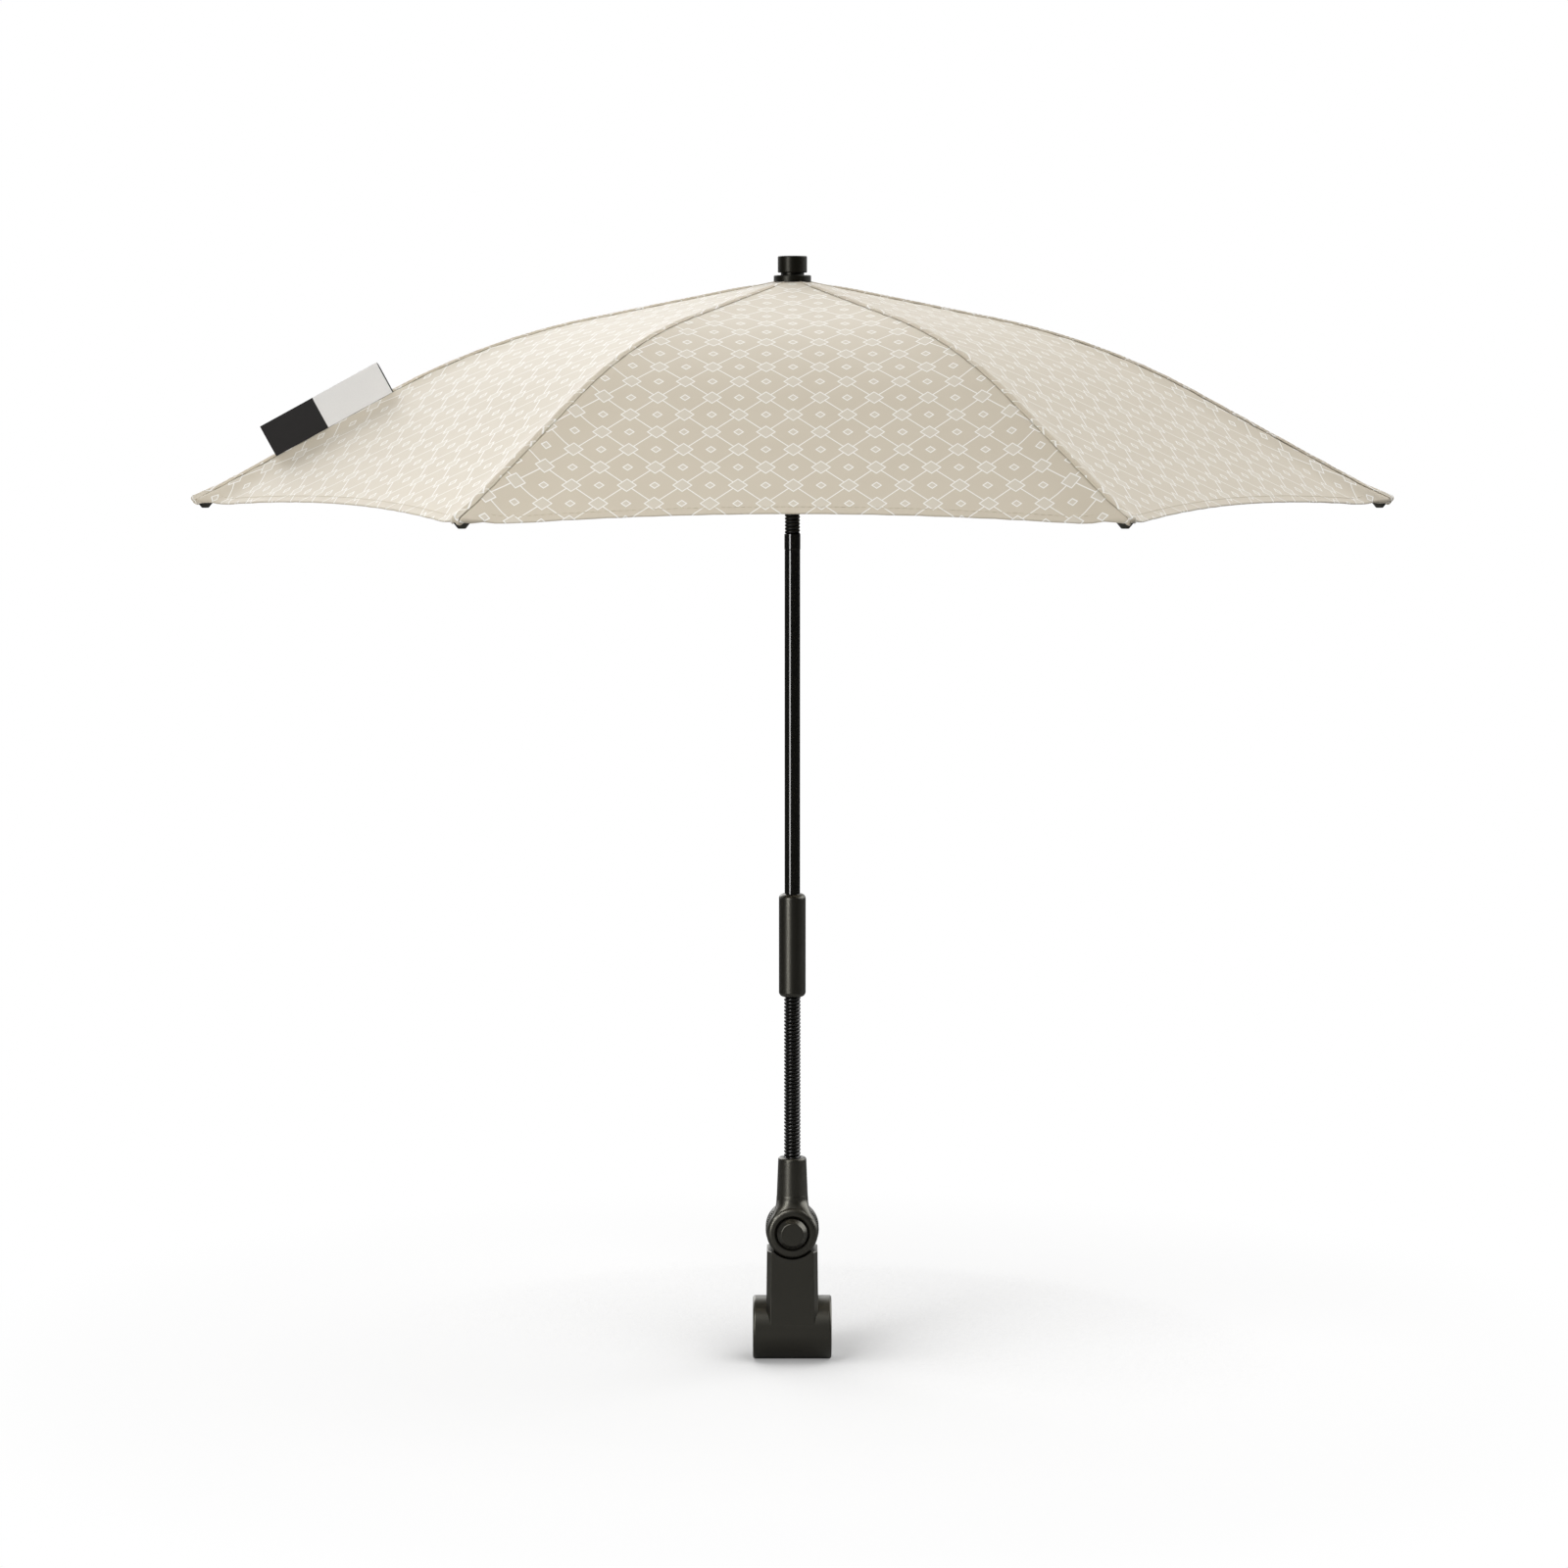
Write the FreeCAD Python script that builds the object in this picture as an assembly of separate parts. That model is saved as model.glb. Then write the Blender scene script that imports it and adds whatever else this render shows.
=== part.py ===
import FreeCAD, Part
import math
import os

from FreeCAD import Vector

# A clip-on pram parasol, in millimetres. The clamp's tube runs along X through
# the origin, Z is up and the lock button faces the front, along -Y.

# Clamp: a stiff C-shaped shell with a soft liner, open at the back
TUBE_DIAMETER = 25.0
GRIP_GAP = 0.1
LINER_WALL = 3.6
LINER_INSET = 0.8
LINER_GROOVES = 5
LINER_GROOVE_WIDTH = 1.6
LINER_GROOVE_DEPTH = 0.8
CLAMP_WALL = 4.6
CLAMP_LENGTH = 51.5
CLAMP_MOUTH = 18.0
CLAMP_EDGE = 1.6

# Block that carries the knuckle above the clamp
BLOCK_WIDTH = 33.1
BLOCK_DRAFT = 0.6
BLOCK_FACE_WIDTH = 27.7
BLOCK_CHAMFER = 4.5
BLOCK_INSET = 0.8
BLOCK_EDGE = 0.8
BLOCK_DROP = 12.2

# Knuckle: the clamp's ear, a toothed disc, the arm's ring and a lock button
PIVOT_RISE = 66.2
MAST_OFFSET = 7.0
KNUCKLE_DEPTH = 27.2
EAR_RADIUS = 17.4
EAR_EDGE = 1.2
DETENT_THICKNESS = 2.4
DETENT_TEETH = 72
DETENT_TOOTH = 0.5
RING_RADIUS = 16.75
RING_BORE_RADIUS = 10.65
RING_WEB = 3.1
RING_EDGE = 3.5
RING_MOUTH_EDGE = 1.0
BOLT_RADIUS = 4.0
BOLT_HEAD_RADIUS = 8.0
BOLT_HEAD_HEIGHT = 2.8
SPIGOT_RADIUS = 3.0
WASHER_RADIUS = 6.5
WASHER_THICKNESS = 1.2
BUTTON_RADIUS = 9.85
BUTTON_FACE_RADIUS = 7.3
BUTTON_REACH = 4.5
BUTTON_RIM = 1.2
BUTTON_SKIRT = 3.0
BUTTON_CROWN = 2.0
BUTTON_EDGE = 0.8
BUTTON_TRAVEL = 3.0
LOCK_SPRING_RADIUS = 8.2
LOCK_SPRING_WIRE = 0.8
LOCK_SPRING_HALF_TURNS = 8

# Swivel arm: a round neck that flares into the ring
SOCKET_RISE = 48.3
NECK_TOP_RADIUS = 9.15
NECK_RADIUS = 10.2
NECK_LIP = 1.5
FLARE_RADIUS = 20.0
FLARE_SWELL = 0.12
FLARE_SINK = 0.5
FLARE_LAP = 0.3

# Gooseneck: a wound coil over a plain core
GOOSENECK_LENGTH = 105.9
GOOSENECK_RADIUS = 5.4
GOOSENECK_WIRE = 1.9
GOOSENECK_PITCH = 2.38
GOOSENECK_SEAT = 4.5
CORE_TAIL = 16.0

# Sleeve that joins the gooseneck to the mast
SLEEVE_LENGTH = 67.4
SLEEVE_RADIUS = 8.7
SLEEVE_EDGE = 3.0
MAST_SEAT = 37.0

# Mast and the short flex under the canopy
MAST_LENGTH = 223.0
MAST_RADIUS = 5.0
MAST_WALL = 0.8
FERRULE_LENGTH = 10.4
FERRULE_RADIUS = 5.15
FERRULE_EDGE = 0.8
FERRULE_STUB = 9.0
FERRULE_SOCKET = 8.0
FLEX_LENGTH = 39.2
FLEX_RADIUS = 4.9
FLEX_WIRE = 1.75
FLEX_PITCH = 2.18
UPPER_TUBE_LENGTH = 112.0

# Top cap: a flange that presses on the fabric, a neck and a knob
FLANGE_RADIUS = 12.0
FLANGE_HEIGHT = 4.0
FLANGE_EDGE = 0.8
CAP_NECK_RADIUS = 7.5
CAP_NECK_HEIGHT = 1.6
CAP_RADIUS = 9.4
CAP_HEIGHT = 10.6
CAP_EDGE = 0.8
CAP_UNDER_EDGE = 0.6
CAP_SOCKET = 12.0

# Canopy: six gores over six curved ribs
RIB_COUNT = 6
FABRIC_THICKNESS = 0.6
FABRIC_HOLE_RADIUS = 10.5
INNER_SLOPE = 11.4
OUTER_SLOPE = 28.6
BEND_START = 130.0
BEND_RADIUS = 460.0
TIP_RADIUS = 380.0
HEM_BOW = 11.0
GORE_SAG = 6.2
RIDGE_HALF_WIDTH = 12.0

# Ribs and stretchers: fluted steel strips
RIB_WIDTH = 4.0
RIB_HEIGHT = 3.2
RIB_WALL = 0.6
RIB_CLEARANCE = 1.4
RIB_START = 20.0
RIB_SETBACK = 8.0
TONGUE_WIDTH = 1.6
HINGE_RADIUS = 9.0
EYE_RADIUS = 1.9
PIN_RADIUS = 0.8
PIN_LENGTH = 6.0
RIVET_RADIUS = 1.0
RIVET_HEAD_RADIUS = 1.5
RIVET_HEAD_HEIGHT = 0.6
STRETCHER_WIDTH = 3.0
STRETCHER_HEIGHT = 2.6
FORK_DEPTH = 16.0
FORK_BRIDGE = 4.0
CHEEK_THICKNESS = 1.1
CHEEK_RADIUS = 1.9
TIP_TONGUE = 16.0
TIP_STEM_RADIUS = 1.8
TIP_REACH = 5.9
TIP_DROP = 9.0
TIP_FOOT_RADIUS = 5.8
TIP_FOOT_HEIGHT = 5.4
TIP_FOOT_TAPER = 4.4
TIP_FOOT_EDGE = 0.6
TIP_NOSE_RADIUS = 2.2

# Crown at the top and runner that slides on the mast
HUB_RADIUS = 12.5
HUB_HALF_HEIGHT = 5.0
CROWN_SKIRT = 8.5
SLOT_WIDTH = 2.2
SLOT_ROOT = 6.8
RUNNER_BORE = 5.6
RUNNER_GRIP_RADIUS = 8.2
RUNNER_LIP_RADIUS = 9.6
RUNNER_LIP_HEIGHT = 2.5
RUNNER_GRIP_LENGTH = 14.0
CATCH_REACH = 1.4
CATCH_THICKNESS = 1.2
CATCH_LENGTH = 11.1
CATCH_AZIMUTH = 30.0

# Woven loop label sewn into the seam at the left
LABEL_RIB = 4
LABEL_SETBACK = 48.0
LABEL_LENGTH = 75.0
LABEL_HEIGHT = 21.5
LABEL_THICKNESS = 1.0

# Clearances: between moving faces, in running fits, and of seated pieces
RUN_GAP = 0.3
FIT_GAP = 0.05
SEAT_GAP = 0.03
CORE_GAP = 0.2
JOINT_TOLERANCE = 1e-6

# Levels up the mast, each stacked on the one below
PIVOT_Z = PIVOT_RISE
SOCKET_Z = PIVOT_Z + SOCKET_RISE
SLEEVE_Z = SOCKET_Z + GOOSENECK_LENGTH
SLEEVE_TOP_Z = SLEEVE_Z + SLEEVE_LENGTH
MAST_TOP_Z = SLEEVE_TOP_Z + MAST_LENGTH
FLEX_Z = MAST_TOP_Z + FERRULE_LENGTH
FLEX_TOP_Z = FLEX_Z + FLEX_LENGTH
UPPER_TUBE_Z = FLEX_TOP_Z + FERRULE_LENGTH
CAP_Z = UPPER_TUBE_Z + UPPER_TUBE_LENGTH
FLANGE_TOP_Z = CAP_Z + FLANGE_HEIGHT
KNOB_Z = FLANGE_TOP_Z + CAP_NECK_HEIGHT
CAP_TOP_Z = KNOB_Z + CAP_HEIGHT

# Radii of the clamp and planes through the knuckle, from front to back
LINER_BORE = TUBE_DIAMETER / 2 + GRIP_GAP
SHELL_BORE = LINER_BORE + LINER_WALL
CLAMP_RADIUS = SHELL_BORE + CLAMP_WALL
BLOCK_FRONT_Y = BLOCK_INSET - CLAMP_RADIUS
BLOCK_TOP_Z = PIVOT_Z - BLOCK_DROP
RING_FRONT_Y = -MAST_OFFSET - KNUCKLE_DEPTH / 2
EAR_BACK_Y = -MAST_OFFSET + KNUCKLE_DEPTH / 2
DETENT_FRONT_Y = -MAST_OFFSET - DETENT_THICKNESS / 2
DETENT_BACK_Y = -MAST_OFFSET + DETENT_THICKNESS / 2
RING_BACK_Y = DETENT_FRONT_Y - RUN_GAP
WEB_FRONT_Y = RING_BACK_Y - RING_WEB
WASHER_BACK_Y = WEB_FRONT_Y - RUN_GAP / 2
WASHER_FRONT_Y = WASHER_BACK_Y - WASHER_THICKNESS
BUTTON_BACK_Y = RING_FRONT_Y + BUTTON_SKIRT
BUTTON_FRONT_Y = RING_FRONT_Y - BUTTON_REACH
BUTTON_BORE_Y = BUTTON_FRONT_Y + BUTTON_CROWN
SPIGOT_FRONT_Y = BUTTON_BORE_Y + BUTTON_TRAVEL + RUN_GAP / 2

# Canopy profile along a rib: a straight run, a bend and a straight run
SECTOR = 360.0 / RIB_COUNT
HALF_SECTOR = math.radians(SECTOR / 2)
INNER_ANGLE = math.radians(INNER_SLOPE)
OUTER_ANGLE = math.radians(OUTER_SLOPE)
CANOPY_Z = CAP_Z - RUN_GAP
BEND_START_Z = CANOPY_Z - (BEND_START - FLANGE_RADIUS) * math.tan(INNER_ANGLE)
BEND_CENTRE_R = BEND_START - BEND_RADIUS * math.sin(INNER_ANGLE)
BEND_CENTRE_Z = BEND_START_Z - BEND_RADIUS * math.cos(INNER_ANGLE)
BEND_END = BEND_CENTRE_R + BEND_RADIUS * math.sin(OUTER_ANGLE)
BEND_END_Z = BEND_CENTRE_Z + BEND_RADIUS * math.cos(OUTER_ANGLE)
RIB_END = TIP_RADIUS - RIB_SETBACK
LABEL_END = TIP_RADIUS - LABEL_SETBACK
LABEL_START = LABEL_END - LABEL_LENGTH

X_AXIS = Vector(1, 0, 0)
Y_AXIS = Vector(0, 1, 0)
Z_AXIS = Vector(0, 0, 1)
ORIGIN = Vector(0, 0, 0)


def cylinder_x(radius, half_length):
    """A cylinder along X, centred on the origin."""
    return Part.makeCylinder(radius, 2 * half_length, Vector(-half_length, 0, 0), X_AXIS)


def cylinder_y(radius, start, end, x=0.0, z=0.0):
    """A cylinder along Y from one plane to another."""
    return Part.makeCylinder(radius, end - start, Vector(x, start, z), Y_AXIS)


def cylinder_z(radius, start, end):
    """A cylinder along Z from one level to another."""
    return Part.makeCylinder(radius, end - start, Vector(0, 0, start), Z_AXIS)


def box(x_range, y_range, z_range):
    """A box between two planes on each axis."""
    size = [high - low for low, high in (x_range, y_range, z_range)]
    return Part.makeBox(*size, Vector(x_range[0], y_range[0], z_range[0]))


def revolved(profile):
    """A solid of revolution about Z from (radius, height) points."""
    points = [Vector(r, 0, z) for r, z in profile]
    face = Part.Face(Part.makePolygon(points + points[:1]))
    return face.revolve(ORIGIN, Z_AXIS, 360)


def round_edges(shape, radius, chosen):
    """Fillet the edges whose centre of mass passes the test."""
    edges = [edge for edge in shape.Edges if chosen(edge)]
    return shape.makeFillet(radius, edges)


def is_rim(edge, axis, level):
    """Whether an edge is a circle lying in one plane square to an axis."""
    box_ = edge.BoundBox
    low, high = {"X": (box_.XMin, box_.XMax), "Y": (box_.YMin, box_.YMax), "Z": (box_.ZMin, box_.ZMax)}[axis]
    return abs(low - level) < 1e-4 and abs(high - level) < 1e-4


def rim_radius(edge):
    """Radius of a circular edge, or zero for any other."""
    return getattr(edge.Curve, "Radius", 0.0)


def on_mast(shape, azimuth=0.0):
    """Turn a shape about the mast's axis and set it in place on the mast."""
    placed = shape.copy()
    placed.rotate(ORIGIN, Z_AXIS, azimuth)
    placed.translate(Vector(0, -MAST_OFFSET, 0))
    return placed


def biarc(start, start_way, end, end_way):
    """Two arcs, each tangent to the other, between two points with given directions."""
    span = end - start
    ways = start_way + end_way
    a = 2 * (1 - start_way.dot(end_way))
    b = 2 * span.dot(ways)
    leg = (math.sqrt(b * b + 4 * a * span.dot(span)) - b) / (2 * a)
    first = start + start_way * leg
    last = end - end_way * leg
    join = (first + last) * 0.5
    return [leg_arc(start, first, join), leg_arc(join, last, end)]


def leg_arc(start, corner, end):
    """The arc that is tangent to both legs of a corner with equal legs."""
    middle = (start + end) * 0.5
    half_chord = (end - start).Length / 2
    rise = corner - middle
    angle = math.atan2(rise.Length, half_chord)
    sagitta = half_chord * (1 - math.cos(angle)) / math.sin(angle)
    return Part.Arc(start, middle + rise * (sagitta / rise.Length), end).toShape()


def coil(name, radius, wire, length, half_turns):
    """An unbroken wire wound about Z, from level 0 to the given length."""
    pitch = 2 * (length - wire) / half_turns
    lead = pitch / (2 * math.pi)

    def at(angle):
        return Vector(radius * math.cos(angle), radius * math.sin(angle), wire / 2 + lead * angle)

    def way(angle):
        return Vector(-radius * math.sin(angle), radius * math.cos(angle), lead).normalize()

    edges = []
    for turn in range(half_turns):
        low = math.pi * turn
        high = low + math.pi
        edges += biarc(at(low), way(low), at(high), way(high))
    path = Part.Wire(edges)
    section = Part.Wire(Part.makeCircle(wire / 2, at(0), way(0)))
    print(name, "turns", half_turns / 2, "least gap", round(least_gap(edges) - wire, 3))
    return path.makePipeShell([section], True, False)


def least_gap(edges):
    """Least distance between points of a wound path that lie about a turn apart."""
    samples = 6
    points = []
    for edge in edges:
        first, last = edge.ParameterRange
        points += [edge.valueAt(first + (last - first) * n / samples) for n in range(samples)]
    turn = 4 * samples
    gaps = []
    for n, point in enumerate(points):
        near = points[n + turn // 2:n + 3 * turn // 2]
        gaps += [point.distanceToPoint(other) for other in near]
    return min(gaps)


def clamp_body():
    """C-shaped shell, block and ear, moulded in one."""
    shell = cylinder_x(CLAMP_RADIUS, CLAMP_LENGTH / 2)
    shell = shell.makeFillet(CLAMP_EDGE, [e for e in shell.Edges if rim_radius(e)])

    def outline(draft, level):
        face = BLOCK_FACE_WIDTH / 2 + draft
        side = BLOCK_WIDTH / 2 + draft
        back = EAR_BACK_Y
        shoulder = BLOCK_FRONT_Y + BLOCK_CHAMFER
        corners = [(-side, back), (-side, shoulder), (-face, BLOCK_FRONT_Y)]
        corners += [(-x, y) for x, y in reversed(corners)]
        points = [Vector(x, y, level) for x, y in corners]
        return Part.makePolygon(points + points[:1])

    block = Part.makeLoft([outline(BLOCK_DRAFT, 0), outline(0, BLOCK_TOP_Z)], True, True)
    block = round_edges(block, BLOCK_EDGE, lambda e: e.BoundBox.ZMax > BLOCK_TOP_Z - FIT_GAP)
    ear = cylinder_y(EAR_RADIUS, DETENT_BACK_Y, EAR_BACK_Y, z=PIVOT_Z)
    ear = round_edges(ear, EAR_EDGE, lambda e: is_rim(e, "Y", EAR_BACK_Y))
    solid = shell.fuse([block, ear]).removeSplitter()
    front = 2 * RING_FRONT_Y
    scoop = cylinder_y(RING_RADIUS + 2 * RUN_GAP, front, DETENT_FRONT_Y, z=PIVOT_Z)
    disc_seat = cylinder_y(EAR_RADIUS + SEAT_GAP, DETENT_FRONT_Y, DETENT_BACK_Y, z=PIVOT_Z)
    bolt_hole = cylinder_y(BOLT_RADIUS + SEAT_GAP, DETENT_BACK_Y, EAR_BACK_Y, z=PIVOT_Z)
    head_y = EAR_BACK_Y - BOLT_HEAD_HEIGHT - RUN_GAP
    head_seat = cylinder_y(BOLT_HEAD_RADIUS + RUN_GAP, head_y, EAR_BACK_Y, z=PIVOT_Z)
    bore = cylinder_x(SHELL_BORE, CLAMP_LENGTH)
    return solid.cut([scoop, disc_seat, bolt_hole, head_seat, bore, mouth()])


def mouth():
    """Space of the slot at the back of the clamp, through which the tube snaps in."""
    half = CLAMP_MOUTH / 2
    return box((-CLAMP_LENGTH, CLAMP_LENGTH), (0, 2 * CLAMP_RADIUS), (-half, half))


def clamp_liner():
    """Soft grip inside the shell, with shallow grooves along the tube."""
    half = CLAMP_LENGTH / 2 - LINER_INSET
    solid = cylinder_x(SHELL_BORE - SEAT_GAP, half).cut(cylinder_x(LINER_BORE, CLAMP_LENGTH))
    solid = solid.cut(mouth())
    groove_half = LINER_GROOVE_WIDTH / 2
    depth = LINER_BORE + LINER_GROOVE_DEPTH
    grooves = []
    for n in range(LINER_GROOVES):
        groove = box((-CLAMP_LENGTH, CLAMP_LENGTH), (-groove_half, groove_half), (0, depth))
        groove.rotate(ORIGIN, X_AXIS, 180.0 * (n + 0.5) / LINER_GROOVES)
        grooves.append(groove)
    return solid.cut(grooves)


def detent_disc():
    """Toothed disc between the ear and the arm's ring."""
    points = []
    for n in range(2 * DETENT_TEETH):
        angle = math.pi * n / DETENT_TEETH
        radius = EAR_RADIUS - DETENT_TOOTH * (n % 2)
        points.append(Vector(radius * math.cos(angle), DETENT_FRONT_Y, PIVOT_Z + radius * math.sin(angle)))
    face = Part.Face(Part.makePolygon(points + points[:1]))
    disc = face.extrude(Vector(0, DETENT_THICKNESS, 0))
    return disc.cut(cylinder_y(BOLT_RADIUS + SEAT_GAP, DETENT_FRONT_Y, DETENT_BACK_Y, z=PIVOT_Z))


def pivot_bolt():
    """Headed bolt through the knuckle, with a spigot that guides the button."""
    head_back = EAR_BACK_Y - RUN_GAP
    head_front = head_back - BOLT_HEAD_HEIGHT
    shaft_front = WASHER_FRONT_Y - RUN_GAP
    head = cylinder_y(BOLT_HEAD_RADIUS, head_front, head_back, z=PIVOT_Z)
    shaft = cylinder_y(BOLT_RADIUS, shaft_front, head_front, z=PIVOT_Z)
    spigot = cylinder_y(SPIGOT_RADIUS, SPIGOT_FRONT_Y, shaft_front, z=PIVOT_Z)
    return head.fuse([shaft, spigot])


def bolt_washer():
    """Washer that keeps the arm's ring on the bolt."""
    washer = cylinder_y(WASHER_RADIUS, WASHER_FRONT_Y, WASHER_BACK_Y, z=PIVOT_Z)
    return washer.cut(cylinder_y(BOLT_RADIUS + SEAT_GAP, WASHER_FRONT_Y, WASHER_BACK_Y, z=PIVOT_Z))


def lock_button():
    """Bevelled push button, bored to slide on the bolt's spigot."""
    rim_y = RING_FRONT_Y - BUTTON_RIM
    profile = [
        (0, BUTTON_BACK_Y),
        (BUTTON_RADIUS, BUTTON_BACK_Y),
        (BUTTON_RADIUS, rim_y),
        (BUTTON_FACE_RADIUS, BUTTON_FRONT_Y),
        (0, BUTTON_FRONT_Y),
    ]
    points = [Vector(r, y, 0) for r, y in profile]
    solid = Part.Face(Part.makePolygon(points + points[:1])).revolve(ORIGIN, Y_AXIS, 360)
    solid = round_edges(solid, BUTTON_EDGE, lambda e: is_rim(e, "Y", BUTTON_FRONT_Y))
    solid.translate(Vector(0, 0, PIVOT_Z))
    return solid.cut(cylinder_y(SPIGOT_RADIUS + FIT_GAP, BUTTON_BORE_Y, BUTTON_BACK_Y, z=PIVOT_Z))


def lock_spring():
    """Return spring between the ring's web and the button."""
    length = WEB_FRONT_Y - BUTTON_BACK_Y - 2 * FIT_GAP
    spring = coil("lock_spring", LOCK_SPRING_RADIUS, LOCK_SPRING_WIRE, length, LOCK_SPRING_HALF_TURNS)
    spring.rotate(ORIGIN, X_AXIS, 90)
    spring.translate(Vector(0, WEB_FRONT_Y - FIT_GAP, PIVOT_Z))
    return spring


def swivel_arm():
    """Neck that takes the gooseneck and flares into the knuckle's ring."""
    reach = NECK_RADIUS + FLARE_RADIUS
    flare_rise = math.sqrt((RING_RADIUS + FLARE_RADIUS) ** 2 - reach ** 2)
    flare_z = PIVOT_Z + flare_rise
    touch = RING_RADIUS / (RING_RADIUS + FLARE_RADIUS)
    foot_z = PIVOT_Z + flare_rise * touch
    ring_middle = (RING_FRONT_Y + RING_BACK_Y) / 2
    ring_half = (RING_BACK_Y - RING_FRONT_Y) / 2

    def section(share):
        """One closed outline of the flare, round at the neck and squarer at the ring.

        Past both ends the outline shrinks, so that the flare sinks into the neck and the ring.
        """
        level = flare_z + (foot_z - flare_z) * share
        inside = min(max(share, 0), 1)
        past = min(abs(share - inside) / FLARE_LAP, 1)
        swell = FLARE_SWELL - (FLARE_SWELL + FLARE_SINK) * past
        drop = (flare_z - foot_z) * inside
        half_width = reach + swell - math.sqrt(FLARE_RADIUS ** 2 - drop ** 2)
        blend = inside * inside * (3 - 2 * inside)
        half_depth = NECK_RADIUS + (ring_half - NECK_RADIUS) * blend + swell
        middle = -MAST_OFFSET + (ring_middle + MAST_OFFSET) * blend
        power = 2 / (2 + 3 * blend)
        points = []
        for n in range(24):
            c = math.cos(math.pi * n / 12)
            s = math.sin(math.pi * n / 12)
            x = half_width * math.copysign(abs(c) ** power, c)
            y = middle + half_depth * math.copysign(abs(s) ** power, s)
            points.append(Vector(x, y, level))
        curve = Part.BSplineCurve()
        curve.interpolate(points, PeriodicFlag=True)
        return Part.Wire(curve.toShape())

    shares = [-FLARE_LAP, 0, 0.2, 0.4, 0.6, 0.8, 1, 1 + FLARE_LAP]
    flare = Part.makeLoft([section(share) for share in shares], True, False)
    neck = revolved([(0, flare_z), (NECK_RADIUS, flare_z), (NECK_TOP_RADIUS, SOCKET_Z), (0, SOCKET_Z)])
    neck = round_edges(neck, NECK_LIP, lambda e: is_rim(e, "Z", SOCKET_Z))
    neck.translate(Vector(0, -MAST_OFFSET, 0))
    ring = cylinder_y(RING_RADIUS, RING_FRONT_Y, RING_BACK_Y, z=PIVOT_Z)
    ring = round_edges(ring, RING_EDGE, lambda e: is_rim(e, "Y", RING_FRONT_Y))
    solid = ring.fuse([flare, neck])
    ear_room = cylinder_y(EAR_RADIUS + 2 * RUN_GAP, RING_BACK_Y, 2 * EAR_BACK_Y, z=PIVOT_Z)
    button_room = cylinder_y(RING_BORE_RADIUS, 2 * RING_FRONT_Y, WEB_FRONT_Y, z=PIVOT_Z)
    mouth_edge = Part.makeCone(RING_BORE_RADIUS + 2 * RING_MOUTH_EDGE, RING_BORE_RADIUS, 2 * RING_MOUTH_EDGE,
                               Vector(0, RING_FRONT_Y - RING_MOUTH_EDGE, PIVOT_Z), Y_AXIS)
    bolt_hole = cylinder_y(BOLT_RADIUS + FIT_GAP, WEB_FRONT_Y, RING_BACK_Y, z=PIVOT_Z)
    coil_seat = on_mast(cylinder_z(GOOSENECK_RADIUS + RUN_GAP, SOCKET_Z - GOOSENECK_SEAT, CAP_TOP_Z))
    core_seat = on_mast(cylinder_z(core_radius() + SEAT_GAP, core_start() - RUN_GAP, SOCKET_Z))
    return solid.cut([ear_room, button_room, mouth_edge, bolt_hole, coil_seat, core_seat])


def core_radius():
    """Radius of the gooseneck's core, just inside its coil."""
    return GOOSENECK_RADIUS - GOOSENECK_WIRE - CORE_GAP


def core_start():
    """Lower end of the gooseneck's core, inside the arm's neck."""
    return SOCKET_Z - GOOSENECK_SEAT - CORE_TAIL


def core_end():
    """Upper end of the gooseneck's core, inside the sleeve."""
    return SLEEVE_Z + GOOSENECK_SEAT + CORE_TAIL


def half_turns_for(length, wire, pitch):
    """Whole half turns of a coil that best fit a length."""
    return round(2 * (length - wire) / pitch)


def gooseneck_coil():
    """Wound outside of the gooseneck, seated in the arm and in the sleeve."""
    low = SOCKET_Z - GOOSENECK_SEAT + FIT_GAP
    length = SLEEVE_Z + GOOSENECK_SEAT - FIT_GAP - low
    half_turns = half_turns_for(length, GOOSENECK_WIRE, GOOSENECK_PITCH)
    middle = GOOSENECK_RADIUS - GOOSENECK_WIRE / 2
    solid = coil("gooseneck_coil", middle, GOOSENECK_WIRE, length, half_turns)
    solid.translate(Vector(0, 0, low))
    return solid


def connector_sleeve():
    """Sleeve bored from below for the gooseneck and from above for the mast."""
    solid = cylinder_z(SLEEVE_RADIUS, SLEEVE_Z, SLEEVE_TOP_Z)
    solid = solid.makeFillet(SLEEVE_EDGE, [e for e in solid.Edges if rim_radius(e)])
    coil_seat = cylinder_z(GOOSENECK_RADIUS + RUN_GAP, SLEEVE_Z, SLEEVE_Z + GOOSENECK_SEAT)
    core_seat = cylinder_z(core_radius() + SEAT_GAP, SLEEVE_Z, core_end() + RUN_GAP)
    mast_seat = cylinder_z(MAST_RADIUS + SEAT_GAP, SLEEVE_TOP_Z - MAST_SEAT, SLEEVE_TOP_Z)
    return solid.cut([coil_seat, core_seat, mast_seat])


def tube(start, end):
    """A length of mast tube."""
    return cylinder_z(MAST_RADIUS, start, end).cut(cylinder_z(MAST_RADIUS - MAST_WALL, start, end))


def ferrule():
    """Plug for a tube's end: a shoulder above level 0, a stub below it and a socket for the core."""
    shoulder = cylinder_z(FERRULE_RADIUS, 0, FERRULE_LENGTH)
    shoulder = round_edges(shoulder, FERRULE_EDGE, lambda e: is_rim(e, "Z", 0))
    stub = cylinder_z(MAST_RADIUS - MAST_WALL - SEAT_GAP, -FERRULE_STUB, 0)
    socket = cylinder_z(flex_core_radius() + SEAT_GAP, FERRULE_LENGTH - FERRULE_SOCKET, FERRULE_LENGTH)
    return shoulder.fuse(stub).cut(socket)


def flex_core_radius():
    """Radius of the flex's core, just inside its coil."""
    return FLEX_RADIUS - FLEX_WIRE - CORE_GAP


def lower_ferrule():
    """Ferrule on the mast's top end."""
    solid = ferrule()
    solid.translate(Vector(0, 0, MAST_TOP_Z))
    return solid


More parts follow.
